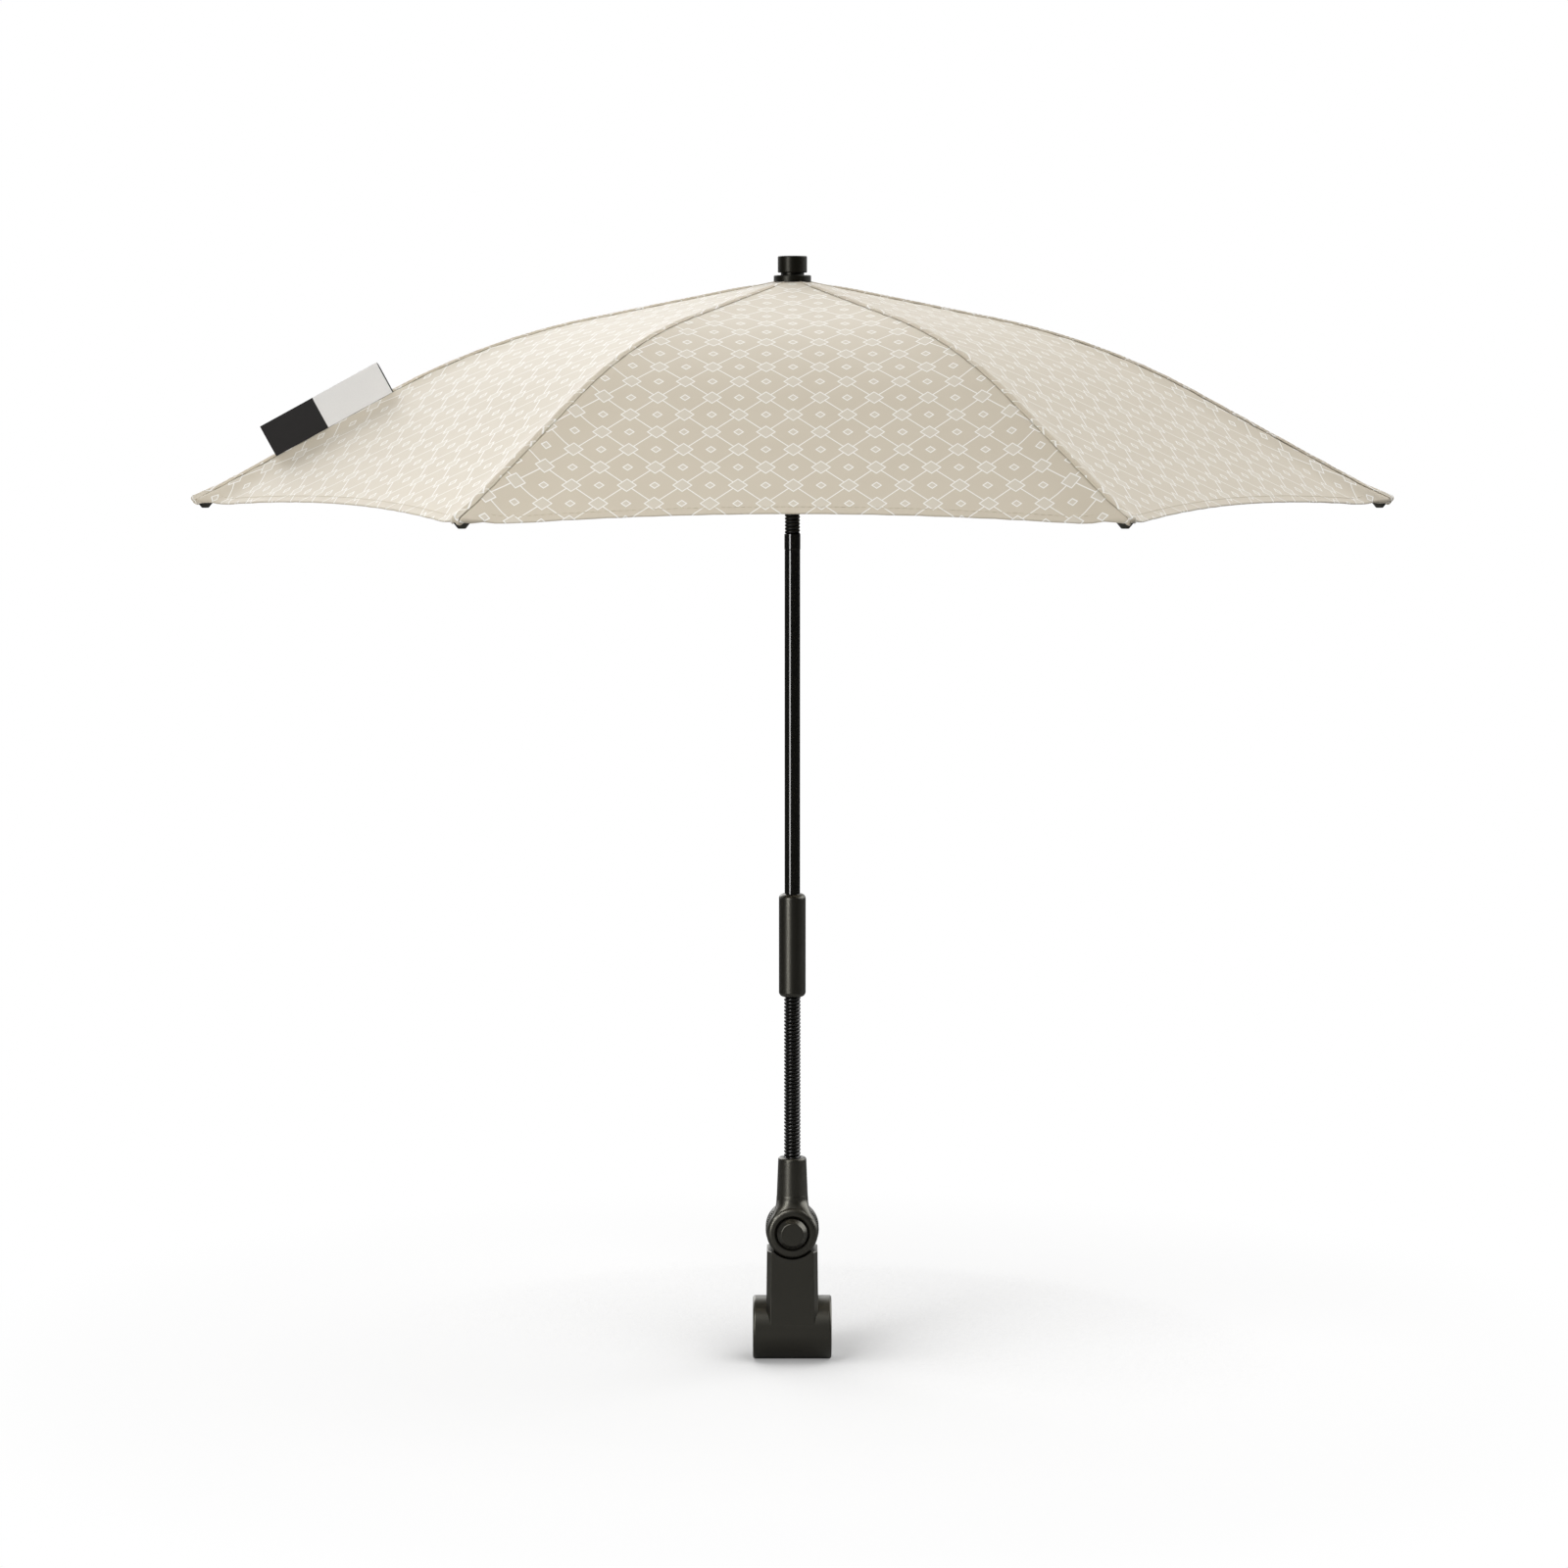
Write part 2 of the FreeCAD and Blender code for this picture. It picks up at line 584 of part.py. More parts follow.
def upper_ferrule():
    """Ferrule on the upper tube's lower end, the other way up."""
    solid = ferrule()
    solid.rotate(ORIGIN, X_AXIS, 180)
    solid.translate(Vector(0, 0, UPPER_TUBE_Z))
    return solid


def flex_coil():
    """Wound outside of the short flex, standing between the two ferrules."""
    length = FLEX_LENGTH - 2 * FIT_GAP
    half_turns = half_turns_for(length, FLEX_WIRE, FLEX_PITCH)
    solid = coil("flex_coil", FLEX_RADIUS - FLEX_WIRE / 2, FLEX_WIRE, length, half_turns)
    solid.translate(Vector(0, 0, FLEX_Z + FIT_GAP))
    return solid


def flex_core():
    """Plain core of the short flex, seated in both ferrules."""
    depth = FERRULE_SOCKET - RUN_GAP
    return cylinder_z(flex_core_radius(), FLEX_Z - depth, FLEX_TOP_Z + depth)


def upper_tube():
    """Tube under the canopy, with the catch's slot."""
    solid = tube(UPPER_TUBE_Z, CAP_Z + CAP_SOCKET - RUN_GAP)
    half = CATCH_THICKNESS / 2 + CORE_GAP
    levels = (catch_low() - RUN_GAP, catch_top() + RUN_GAP)
    slot = box((0, MAST_RADIUS + MAST_WALL), (-half, half), levels)
    slot.rotate(ORIGIN, Z_AXIS, CATCH_AZIMUTH)
    return solid.cut(slot)


def catch_top():
    """Level on which the open runner rests."""
    return catch_low() + CATCH_LENGTH


def catch_low():
    """Foot of the catch, just above the ferrule inside the tube."""
    return UPPER_TUBE_Z + FERRULE_STUB + 2 * RUN_GAP


def runner_catch():
    """Sprung leaf that holds the runner up."""
    inner = MAST_RADIUS - 2 * MAST_WALL
    top = catch_top()
    low = catch_low()
    outer = MAST_RADIUS + CATCH_REACH
    corners = [(inner, low), (MAST_RADIUS, low), (outer, top), (inner, top)]
    points = [Vector(x, -CATCH_THICKNESS / 2, z) for x, z in corners]
    leaf = Part.Face(Part.makePolygon(points + points[:1])).extrude(Vector(0, CATCH_THICKNESS, 0))
    leaf.rotate(ORIGIN, Z_AXIS, CATCH_AZIMUTH)
    return leaf


def top_cap():
    """Knob, neck and flange, bored for the tube's end."""
    flange = cylinder_z(FLANGE_RADIUS, CAP_Z, FLANGE_TOP_Z)
    flange = round_edges(flange, FLANGE_EDGE, lambda e: is_rim(e, "Z", FLANGE_TOP_Z))
    neck = cylinder_z(CAP_NECK_RADIUS, FLANGE_TOP_Z, KNOB_Z)
    knob = cylinder_z(CAP_RADIUS, KNOB_Z, CAP_TOP_Z)
    knob = round_edges(knob, CAP_EDGE, lambda e: is_rim(e, "Z", CAP_TOP_Z))
    knob = round_edges(knob, CAP_UNDER_EDGE, lambda e: is_rim(e, "Z", KNOB_Z))
    socket = cylinder_z(MAST_RADIUS + SEAT_GAP, CAP_Z, CAP_Z + CAP_SOCKET)
    return flange.fuse([neck, knob]).cut(socket)


def profile_level(radius):
    """Height of the fabric's outer face along a rib."""
    if radius < BEND_START:
        return CANOPY_Z - (radius - FLANGE_RADIUS) * math.tan(INNER_ANGLE)
    if radius > BEND_END:
        return BEND_END_Z - (radius - BEND_END) * math.tan(OUTER_ANGLE)
    return BEND_CENTRE_Z + math.sqrt(BEND_RADIUS ** 2 - (radius - BEND_CENTRE_R) ** 2)


def slope_at(radius):
    """Downward slope of the canopy's profile, in radians."""
    if radius < BEND_START:
        return INNER_ANGLE
    if radius > BEND_END:
        return OUTER_ANGLE
    return math.asin((radius - BEND_CENTRE_R) / BEND_RADIUS)


def below_fabric(radius, depth):
    """Point in a rib's plane at a depth under the fabric's outer face, square to it."""
    slope = slope_at(radius)
    level = profile_level(radius)
    return Vector(radius - depth * math.sin(slope), 0, level - depth * math.cos(slope))


def band(top, bottom, start, end, width):
    """Strip that follows the canopy's profile between two depths under it."""
    bend = [min(max(radius, start), end) for radius in (BEND_START, BEND_END)]
    edges = []
    for depth in (top, bottom):
        edges += run(start, bend[0], depth) + run(bend[0], bend[1], depth) + run(bend[1], end, depth)
    for radius in (start, end):
        edges.append(Part.makeLine(below_fabric(radius, top), below_fabric(radius, bottom)))
    face = Part.Face(Part.Wire(Part.__sortEdges__(edges)))
    face.translate(Vector(0, -width / 2, 0))
    return face.extrude(Vector(0, width, 0))


def run(start, end, depth):
    """One stretch under the fabric, a line or the bend's arc, or nothing where it has no length."""
    if start == end:
        return []
    low, middle, high = [below_fabric(r, depth) for r in (start, (start + end) / 2, end)]
    if start >= BEND_START and end <= BEND_END:
        return [Part.Arc(low, middle, high).toShape()]
    return [Part.makeLine(low, high)]


def rib_top():
    """Depth of a rib's upper face under the fabric's outer face."""
    return FABRIC_THICKNESS + RIB_CLEARANCE


def rib_hinge():
    """Rib hinge in the crown, as (radius, height)."""
    level = profile_level(HINGE_RADIUS) - FABRIC_THICKNESS - RUN_GAP - EYE_RADIUS
    return HINGE_RADIUS, level


def runner_hinge():
    """Stretcher hinge in the open runner, which rests on the catch, as (radius, height)."""
    return HINGE_RADIUS, catch_top() + RUN_GAP + RUNNER_GRIP_LENGTH + HUB_HALF_HEIGHT


def rib_joint():
    """Joint of a rib and its stretcher, as far from the crown's hinge as from the runner's."""
    level = (rib_hinge()[1] + runner_hinge()[1]) / 2
    depth = rib_top() + RIB_HEIGHT / 2
    inner = RIB_START
    outer = RIB_END
    while outer - inner > JOINT_TOLERANCE:
        radius = (inner + outer) / 2
        if below_fabric(radius, depth).z > level:
            inner = radius
        else:
            outer = radius
    return below_fabric(inner, depth).x, level


def stretcher_length():
    """Distance from the runner's hinge to the rib's joint."""
    return math.dist(runner_hinge(), rib_joint())


def rib():
    """Fluted strip with a flat tongue and an eye at the crown."""
    top = rib_top()
    bottom = top + RIB_HEIGHT
    strip = band(top, bottom, RIB_START, RIB_END, RIB_WIDTH)
    flute = band(top + RIB_WALL, bottom + RIB_WALL, RIB_START - RIB_WALL, RIB_END + RIB_WALL,
                 RIB_WIDTH - 2 * RIB_WALL)
    hinge_r, hinge_z = rib_hinge()
    half = TONGUE_WIDTH / 2
    tongue = tongue_plate(hinge_r, hinge_z)
    eye = cylinder_y(EYE_RADIUS, -half, half, hinge_r, hinge_z)
    joint_r, joint_z = rib_joint()
    holes = [cylinder_y(PIN_RADIUS + FIT_GAP, -half, half, hinge_r, hinge_z)]
    holes.append(cylinder_y(RIVET_RADIUS + SEAT_GAP, -RIB_WIDTH, RIB_WIDTH, joint_r, joint_z))
    return strip.cut(flute).fuse([tongue, eye]).cut(holes).removeSplitter()


def tongue_plate(hinge_r, hinge_z):
    """Flat plate from the eye into the strip's flute."""
    slope = slope_at(RIB_START)
    along = Vector(math.cos(slope), 0, -math.sin(slope))
    up = Vector(math.sin(slope), 0, math.cos(slope))
    root = Vector(hinge_r, 0, hinge_z)
    end = below_fabric(RIB_START, rib_top()) + along * RIB_START / 2
    low_end = end - up * RIB_HEIGHT
    points = [root + up * EYE_RADIUS, end, low_end, root - up * EYE_RADIUS]
    face = Part.Face(Part.makePolygon(points + points[:1]))
    face.translate(Vector(0, -TONGUE_WIDTH / 2, 0))
    return face.extrude(Vector(0, TONGUE_WIDTH, 0))


def rib_tip():
    """Plastic end piece: a tongue in the strip's flute and a foot below the fabric's corner."""
    top = rib_top() + RIB_WALL + SEAT_GAP
    bottom = rib_top() + RIB_HEIGHT
    width = RIB_WIDTH - 2 * RIB_WALL - 2 * SEAT_GAP
    tongue = band(top, bottom, RIB_END - TIP_TONGUE, RIB_END + TIP_STEM_RADIUS, width)
    root = below_fabric(RIB_END, rib_top() + RIB_HEIGHT / 2) + Vector(TIP_STEM_RADIUS, 0, 0)
    seat = root + Vector(TIP_REACH, 0, TIP_FOOT_TAPER - TIP_DROP)
    way = seat - root
    stem = Part.makeCylinder(TIP_STEM_RADIUS, way.Length, root, way)
    foot = tip_foot()
    foot.translate(root + Vector(TIP_REACH, 0, -TIP_DROP))
    strip_room = band(rib_top() - RIB_WALL, bottom, RIB_END - TIP_TONGUE, RIB_END + SEAT_GAP, 2 * RIB_WIDTH)
    return stem.cut(strip_room).fuse([tongue, foot])


def tip_foot():
    """Blunt cone that hangs below the corner, its nose at level zero."""
    solid = revolved([
        (0, 0),
        (TIP_NOSE_RADIUS, 0),
        (TIP_FOOT_RADIUS, TIP_FOOT_TAPER),
        (TIP_FOOT_RADIUS, TIP_FOOT_HEIGHT),
        (0, TIP_FOOT_HEIGHT),
    ])
    levels = (0, TIP_FOOT_TAPER, TIP_FOOT_HEIGHT)
    return round_edges(solid, TIP_FOOT_EDGE, lambda e: any(is_rim(e, "Z", level) for level in levels))


def rib_rivet():
    """Rivet that joins a rib and its stretcher's fork."""
    joint_r, joint_z = rib_joint()
    inside = fork_half_gap() + CHEEK_THICKNESS + CORE_GAP / 2
    outside = inside + RIVET_HEAD_HEIGHT
    shank = cylinder_y(RIVET_RADIUS, -outside, outside, joint_r, joint_z)
    heads = [cylinder_y(RIVET_HEAD_RADIUS, inside, outside, joint_r, joint_z)]
    heads.append(cylinder_y(RIVET_HEAD_RADIUS, -outside, -inside, joint_r, joint_z))
    return shank.fuse(heads)


def fork_half_gap():
    """Half of the space between a fork's cheeks."""
    return RIB_WIDTH / 2 + RUN_GAP


def stretcher():
    """Bar with an eye for the runner and a fork that straddles the rib."""
    length = stretcher_length()
    half = TONGUE_WIDTH / 2
    height = STRETCHER_HEIGHT / 2
    tongue_end = 2 * STRETCHER_WIDTH
    fork_start = length - FORK_DEPTH - FORK_BRIDGE
    eye = cylinder_y(EYE_RADIUS, -half, half)
    tongue = box((0, tongue_end + half), (-half, half), (-height, height))
    bar = box((tongue_end, fork_start), (-STRETCHER_WIDTH / 2, STRETCHER_WIDTH / 2), (-height, height))
    inside = fork_half_gap()
    outside = inside + CHEEK_THICKNESS
    pieces = [tongue, bar, box((fork_start, length - FORK_DEPTH), (-outside, outside), (-height, height))]
    for low, high in ((inside, outside), (-outside, -inside)):
        pieces.append(box((length - FORK_DEPTH, length), (low, high), (-height, height)))
        pieces.append(cylinder_y(CHEEK_RADIUS, low, high, length))
    holes = [cylinder_y(PIN_RADIUS + FIT_GAP, -half, half)]
    holes.append(cylinder_y(RIVET_RADIUS + FIT_GAP, -outside, outside, length))
    solid = eye.fuse(pieces).cut(holes).removeSplitter()
    low_r, low_z = runner_hinge()
    high_r, high_z = rib_joint()
    rise = math.degrees(math.atan2(high_z - low_z, high_r - low_r))
    solid.rotate(ORIGIN, Y_AXIS, -rise)
    solid.translate(Vector(low_r, 0, low_z))
    return solid


def slots(bottom, top):
    """Radial slots of a hub, one for each rib."""
    half = SLOT_WIDTH / 2
    cuts = []
    for n in range(RIB_COUNT):
        slot = box((SLOT_ROOT, 2 * HUB_RADIUS), (-half, half), (bottom, top))
        slot.rotate(ORIGIN, Z_AXIS, SECTOR * n)
        cuts.append(slot)
    return cuts


def pins(level, radius):
    """Short pins across the slots of a hub."""
    made = []
    for n in range(RIB_COUNT):
        pin = cylinder_y(radius, -PIN_LENGTH / 2, PIN_LENGTH / 2, HINGE_RADIUS, level)
        pin.rotate(ORIGIN, Z_AXIS, SECTOR * n)
        made.append(pin)
    return made


def crown():
    """Slotted hub on the tube's top, under the fabric."""
    level = rib_hinge()[1]
    top = profile_level(HUB_RADIUS / math.cos(HALF_SECTOR)) - FABRIC_THICKNESS - RUN_GAP
    bottom = level - CROWN_SKIRT
    solid = cylinder_z(HUB_RADIUS, bottom, top)
    cuts = slots(bottom, top) + pins(level, PIN_RADIUS + SEAT_GAP)
    return solid.cut(cuts + [cylinder_z(MAST_RADIUS + SEAT_GAP, bottom, top)])


def runner():
    """Sliding hub with a waisted grip, held up by the catch."""
    level = runner_hinge()[1]
    top = level + HUB_HALF_HEIGHT
    head = level - HUB_HALF_HEIGHT
    low = head - RUNNER_GRIP_LENGTH
    lip = low + RUNNER_LIP_HEIGHT
    solid = revolved([
        (RUNNER_BORE, low),
        (RUNNER_LIP_RADIUS, low),
        (RUNNER_LIP_RADIUS, lip),
        (RUNNER_GRIP_RADIUS, lip + RUNNER_LIP_HEIGHT),
        (RUNNER_GRIP_RADIUS, head - RUNNER_LIP_HEIGHT),
        (HUB_RADIUS, head),
        (HUB_RADIUS, top),
        (RUNNER_BORE, top),
    ])
    floor = level - EYE_RADIUS - 2 * RUN_GAP
    return solid.cut(slots(floor, top) + pins(level, PIN_RADIUS + SEAT_GAP))


def hem_arc_point(share):
    """Point of the scalloped hem in plan, from a rib's tip at 0 to the middle of the gore at 1."""
    half_chord = TIP_RADIUS * math.sin(HALF_SECTOR)
    radius = (half_chord ** 2 + HEM_BOW ** 2) / (2 * HEM_BOW)
    half_angle = math.asin(half_chord / radius)
    centre = TIP_RADIUS * math.cos(HALF_SECTOR) - HEM_BOW + radius
    angle = half_angle * (1 - share)
    out = centre - radius * math.cos(angle)
    across = radius * math.sin(angle)
    c = math.cos(HALF_SECTOR)
    s = math.sin(HALF_SECTOR)
    return Vector(out * c + across * s, out * s - across * c, 0)


def kite_outline():
    """Plan of one panel: half a gore on each side of a rib, with a scalloped hem."""
    side = Vector(math.sin(HALF_SECTOR), -math.cos(HALF_SECTOR), 0) * (CORE_GAP / 2)
    inner = Vector(math.cos(HALF_SECTOR), math.sin(HALF_SECTOR), 0) * FABRIC_HOLE_RADIUS + side
    tip = hem_arc_point(0)
    quarter = hem_arc_point(0.5)
    middle = hem_arc_point(1) + side

    def mirrored(point):
        return Vector(point.x, -point.y, 0)

    edges = [Part.makeLine(inner, middle)]
    edges.append(Part.Arc(middle, quarter, tip).toShape())
    edges.append(Part.Arc(tip, mirrored(quarter), mirrored(middle)).toShape())
    edges.append(Part.makeLine(mirrored(middle), mirrored(inner)))
    edges.append(Part.Arc(mirrored(inner), Vector(FABRIC_HOLE_RADIUS, 0, 0), inner).toShape())
    return Part.Face(Part.Wire(edges))


def canopy_panel():
    """Fabric over one rib, out to the middle of the gore on each side."""
    rows = 16
    columns = 13
    first = FABRIC_HOLE_RADIUS - FABRIC_THICKNESS
    last = TIP_RADIUS + HEM_BOW
    grid = []
    for row in range(rows):
        radius = first + (last - first) * row / (rows - 1)
        sag = GORE_SAG * (radius / TIP_RADIUS) ** 2
        line = []
        for column in range(columns):
            share = 0.51 * (column / (columns - 1)) ** 1.5
            x = radius * (1 - share * (1 - math.cos(2 * HALF_SECTOR)))
            y = radius * share * math.sin(2 * HALF_SECTOR)
            dip = sag * (1 - math.exp(-(y / RIDGE_HALF_WIDTH) ** 2))
            line.append(Vector(x, y, profile_level(radius) - dip))
        grid.append(line)
    surface = Part.BSplineSurface()
    surface.interpolate(grid)
    half = surface.toShape().extrude(Vector(0, 0, -FABRIC_THICKNESS))
    sheet = half.fuse(half.mirror(ORIGIN, Y_AXIS))
    outline = kite_outline()
    outline.translate(Vector(0, 0, SLEEVE_TOP_Z))
    return sheet.common(outline.extrude(Vector(0, 0, CAP_TOP_Z - SLEEVE_TOP_Z))).removeSplitter()


def woven_label():
    """Folded loop of tape standing up from the seam."""
    return band(-LABEL_HEIGHT, -RUN_GAP, LABEL_START, LABEL_END, LABEL_THICKNESS)


def pieces():
    """Every piece of the parasol, by name."""
    hinge = rib_hinge()[1]
    runner_level = runner_hinge()[1]
    made = {
        "clamp_body": clamp_body(),
        "clamp_liner": clamp_liner(),
        "detent_disc": detent_disc(),
        "pivot_bolt": pivot_bolt(),
        "bolt_washer": bolt_washer(),
        "lock_button": lock_button(),
        "lock_spring": lock_spring(),
        "swivel_arm": swivel_arm(),
        "gooseneck_coil": on_mast(gooseneck_coil()),
        "gooseneck_core": on_mast(cylinder_z(core_radius(), core_start(), core_end())),
        "connector_sleeve": on_mast(connector_sleeve()),
        "mast_tube": on_mast(tube(SLEEVE_TOP_Z - MAST_SEAT, MAST_TOP_Z)),
        "lower_ferrule": on_mast(lower_ferrule()),
        "flex_coil": on_mast(flex_coil()),
        "flex_core": on_mast(flex_core()),
        "upper_ferrule": on_mast(upper_ferrule()),
        "upper_tube": on_mast(upper_tube()),
        "runner_catch": on_mast(runner_catch()),
        "top_cap": on_mast(top_cap()),
        "crown": on_mast(crown()),
        "crown_pins": on_mast(Part.makeCompound(pins(hinge, PIN_RADIUS))),
        "runner": on_mast(runner()),
        "runner_pins": on_mast(Part.makeCompound(pins(runner_level, PIN_RADIUS))),
        "woven_label": on_mast(woven_label(), SECTOR * (LABEL_RIB - 1)),
    }
    repeated = {
        "rib": rib(),
        "rib_tip": rib_tip(),
        "rib_rivet": rib_rivet(),
        "stretcher": stretcher(),
        "canopy_panel": canopy_panel(),
    }
    for name, shape in repeated.items():
        for n in range(RIB_COUNT):
            made[f"{name}_{n + 1}"] = on_mast(shape, SECTOR * n)
    return made


def main():
    os.makedirs("parts", exist_ok=True)
    for name, shape in pieces().items():
        shape.exportStep(f"parts/{name}.step")


main()
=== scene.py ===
import math

import bpy
import numpy as np
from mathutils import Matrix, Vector


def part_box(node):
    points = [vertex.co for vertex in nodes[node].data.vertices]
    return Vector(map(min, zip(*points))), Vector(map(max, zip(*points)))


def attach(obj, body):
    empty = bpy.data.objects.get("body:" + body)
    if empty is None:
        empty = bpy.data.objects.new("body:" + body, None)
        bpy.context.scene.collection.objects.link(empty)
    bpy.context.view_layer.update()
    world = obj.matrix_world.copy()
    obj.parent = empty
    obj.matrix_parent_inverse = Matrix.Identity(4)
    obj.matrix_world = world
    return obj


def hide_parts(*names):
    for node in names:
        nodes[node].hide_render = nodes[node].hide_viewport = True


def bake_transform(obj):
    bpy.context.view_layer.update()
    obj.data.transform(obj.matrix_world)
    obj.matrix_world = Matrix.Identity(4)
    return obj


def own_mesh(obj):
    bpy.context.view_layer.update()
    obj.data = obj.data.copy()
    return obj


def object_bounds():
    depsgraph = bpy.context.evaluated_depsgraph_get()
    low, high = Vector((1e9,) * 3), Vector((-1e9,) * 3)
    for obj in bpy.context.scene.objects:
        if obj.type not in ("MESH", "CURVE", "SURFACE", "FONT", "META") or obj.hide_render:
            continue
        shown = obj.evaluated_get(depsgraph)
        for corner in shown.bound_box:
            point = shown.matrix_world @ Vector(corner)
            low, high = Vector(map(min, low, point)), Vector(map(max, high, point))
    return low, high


# A clip-on pram parasol: printed canopy, black mast with two flexible coils, knuckle and clamp.
# Lengths are in millimetres, as in the CAD source, and turn to metres where a mesh is made.
# The studio and the depths of the materials' relief are in metres.

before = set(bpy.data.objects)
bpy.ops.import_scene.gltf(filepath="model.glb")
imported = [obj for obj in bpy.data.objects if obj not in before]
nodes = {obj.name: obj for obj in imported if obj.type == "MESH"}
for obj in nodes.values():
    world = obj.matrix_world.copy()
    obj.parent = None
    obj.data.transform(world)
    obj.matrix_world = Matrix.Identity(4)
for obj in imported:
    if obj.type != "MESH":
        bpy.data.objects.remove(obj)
CAD_LOW, CAD_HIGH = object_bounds()

MM = 0.001
MAST_Y = -7.0

# Canopy: profile along a rib and plan of the scalloped hem
RIB_COUNT = 6
RIB_STEP = 360 / RIB_COUNT
CANOPY_Z = 682.5
FLANGE_RADIUS = 12.0
HOLE_RADIUS = 10.5
INNER_ANGLE = math.radians(11.4)
OUTER_ANGLE = math.radians(28.6)
BEND_START = 130.0
BEND_RADIUS = 460.0
TIP_RADIUS = 380.0
HEM_BOW = 11.0
GORE_SAG = 6.2
RIDGE_HALF_WIDTH = 12.0
COS30 = math.cos(math.radians(30))
TAN30 = math.tan(math.radians(30))
BEND_START_Z = CANOPY_Z - (BEND_START - FLANGE_RADIUS) * math.tan(INNER_ANGLE)
BEND_CENTRE_R = BEND_START - BEND_RADIUS * math.sin(INNER_ANGLE)
BEND_CENTRE_Z = BEND_START_Z - BEND_RADIUS * math.cos(INNER_ANGLE)
BEND_END = BEND_CENTRE_R + BEND_RADIUS * math.sin(OUTER_ANGLE)
BEND_END_Z = BEND_CENTRE_Z + BEND_RADIUS * math.cos(OUTER_ANGLE)
HALF_CHORD = TIP_RADIUS / 2
HEM_RADIUS = (HALF_CHORD ** 2 + HEM_BOW ** 2) / (2 * HEM_BOW)
HEM_CENTRE = TIP_RADIUS * COS30 - HEM_BOW + HEM_RADIUS
GORE_TABLE_END = 420.0
GORE_TABLE_POINTS = 1681
CREST_POINTS = 400
CLOTH_THICKNESS = 0.4

# Side of each rib, by number, on which the seam's folded edge lies: 1 towards the next rib
CREASE_SIDE = {1: -1, 2: -1, 3: 1, 4: 1, 5: 1, 6: -1}
# The two half gores on a rib: towards the next rib and towards the one before
HALF_NAME = {1: "a", -1: "b"}
# Felled seam in section: (distance past the rib towards the crease, height)
WELT = [
    (1.6, -0.2), (2.1, -0.18), (2.34, 0.0), (2.4, 0.3), (2.25, 0.58), (1.85, 0.8), (1.2, 0.98),
    (0.5, 1.1), (-0.3, 1.12), (-1.1, 1.02), (-1.9, 0.8), (-2.8, 0.5), (-3.8, 0.24), (-5.0, 0.08),
    (-6.5, 0.0),
]
GROOVE = [
    (0.8, -0.5), (1.7, -0.48), (2.3, -0.4), (2.65, -0.22), (3.0, -0.09), (3.6, -0.02), (6.0, 0.0),
]
# The seam is full size where half a gore is wider than its room, and rises between two distances
SEAM_ROOM = 8.0
SEAM_RISE = (11.5, 40.0)

# Grid of half a gore: rows near the hem, by their distance from it, then the other rows and columns
HEM_ROWS = [0, 0.8, 1.7, 2.7, 3.9, 5.3, 7, 9, 11.3, 14, 17.2, 21, 25.5, 31, 38, 46, 56]
INNER_ROWS = 46
ROW_CROWDING = 1.25
GORE_COLUMNS = 22
COLUMN_CROWDING = 1.15
HEM_PASSES = 12
ROLL_ROWS = 8
TURN_IN_ROWS = 3

# Puckers beside the seam, ripple of the hem and gathers at the corner, and how they differ by rib.
# A wave is in millimetres to a radian, and a turn in radians to a millimetre. A drift shifts a wave
# by so many radians, and is a slower wave itself.
PHASE_STEP = 1.7
PHASE_OVER = 0.9
PUCKER_HEIGHT = 0.2
PUCKER_REACH = 10.0
PUCKER_RISE = (40.0, 90.0)
PUCKER_WAVE = 2.3
PUCKER_DRIFT = (1.4, 19.0)
RIPPLE_HEIGHT = 0.14
RIPPLE_REACH = 8.0
RIPPLE_FADE = (110.0, 157.0)
RIPPLE_WAVE = 3.1
RIPPLE_DRIFT = (1.2, 23.0)
GATHER_HEIGHT = 0.8
GATHER_REACH = 7.0
GATHER_TURN = 1.6

# Rolled hem, and the pocket that it makes over a rib tip
HEM_ROLL = 0.55
CORNER_ROLL = 1.45
CORNER_REACH = 7.0
CORNER_STRETCH = 5.6
CORNER_SLOPE = math.radians(14)
CORNER_WIDTH = 9.0
CORNER_TURN_WIDTH = 14.0
CORNER_TURN = math.radians(30)
HEM_DROP = math.radians(3.6)
POCKET_DEPTH = 8.0
PLEAT_SHARE = 0.16
PLEAT_TURN = 1.9
HEM_TURN_IN = 6.5

# Stitching. A stitch's rings are (place along it, thickness, height), in shares of its length
# and radius
STITCH_LENGTH = 2.5
STITCH_PITCH = 3.3
STITCH_RADIUS = 0.17
STITCH_SIDES = 6
STITCH_RINGS = [
    (0.0, 0.35, -0.1), (0.2, 0.9, 0.5), (0.5, 1.0, 0.7), (0.8, 0.9, 0.5), (1.0, 0.35, -0.1),
]
SEAM_STITCH_START = 24.0
SEAM_STITCH_END = TIP_RADIUS - 18
SEAM_STITCH_SIDE = 1.15
SEAM_STITCH_LIFT = 0.99
HEM_STITCH_START = 12.0
HEM_STITCH_END = COS30 / 2 * TIP_RADIUS - 4
HEM_STITCH_INSET = HEM_TURN_IN - 1.2
HEM_STITCH_LIFT = 0.06

# Coils: radius to the middle of the wire, radius of the wire and distance between turns
GOOSENECK_COIL = {"radius": 4.26, "wire": 1.14, "pitch": 2.38}
GOOSENECK_CORE = 3.0
FLEX_COIL = {"radius": 3.86, "wire": 1.04, "pitch": 2.18}
FLEX_CORE = 2.75
TURN_POINTS = 30
WIRE_SIDES = 12
CORE_SIDES = 20
CORE_LEVELS = 28
# Levels of the coils' ends, and those between which the two halves of the gooseneck bend
GOOSENECK_Z = (110.0, 167.45, 224.9)
GOOSENECK_BEND = ((114.5, 167.45), (167.45, 220.4))
FLEX_Z = (521.25, 560.35)

# Return spring of the button
SPRING_WIRE = 0.4
SPRING_END_ROOM = 0.42
SPRING_TURNS = 4

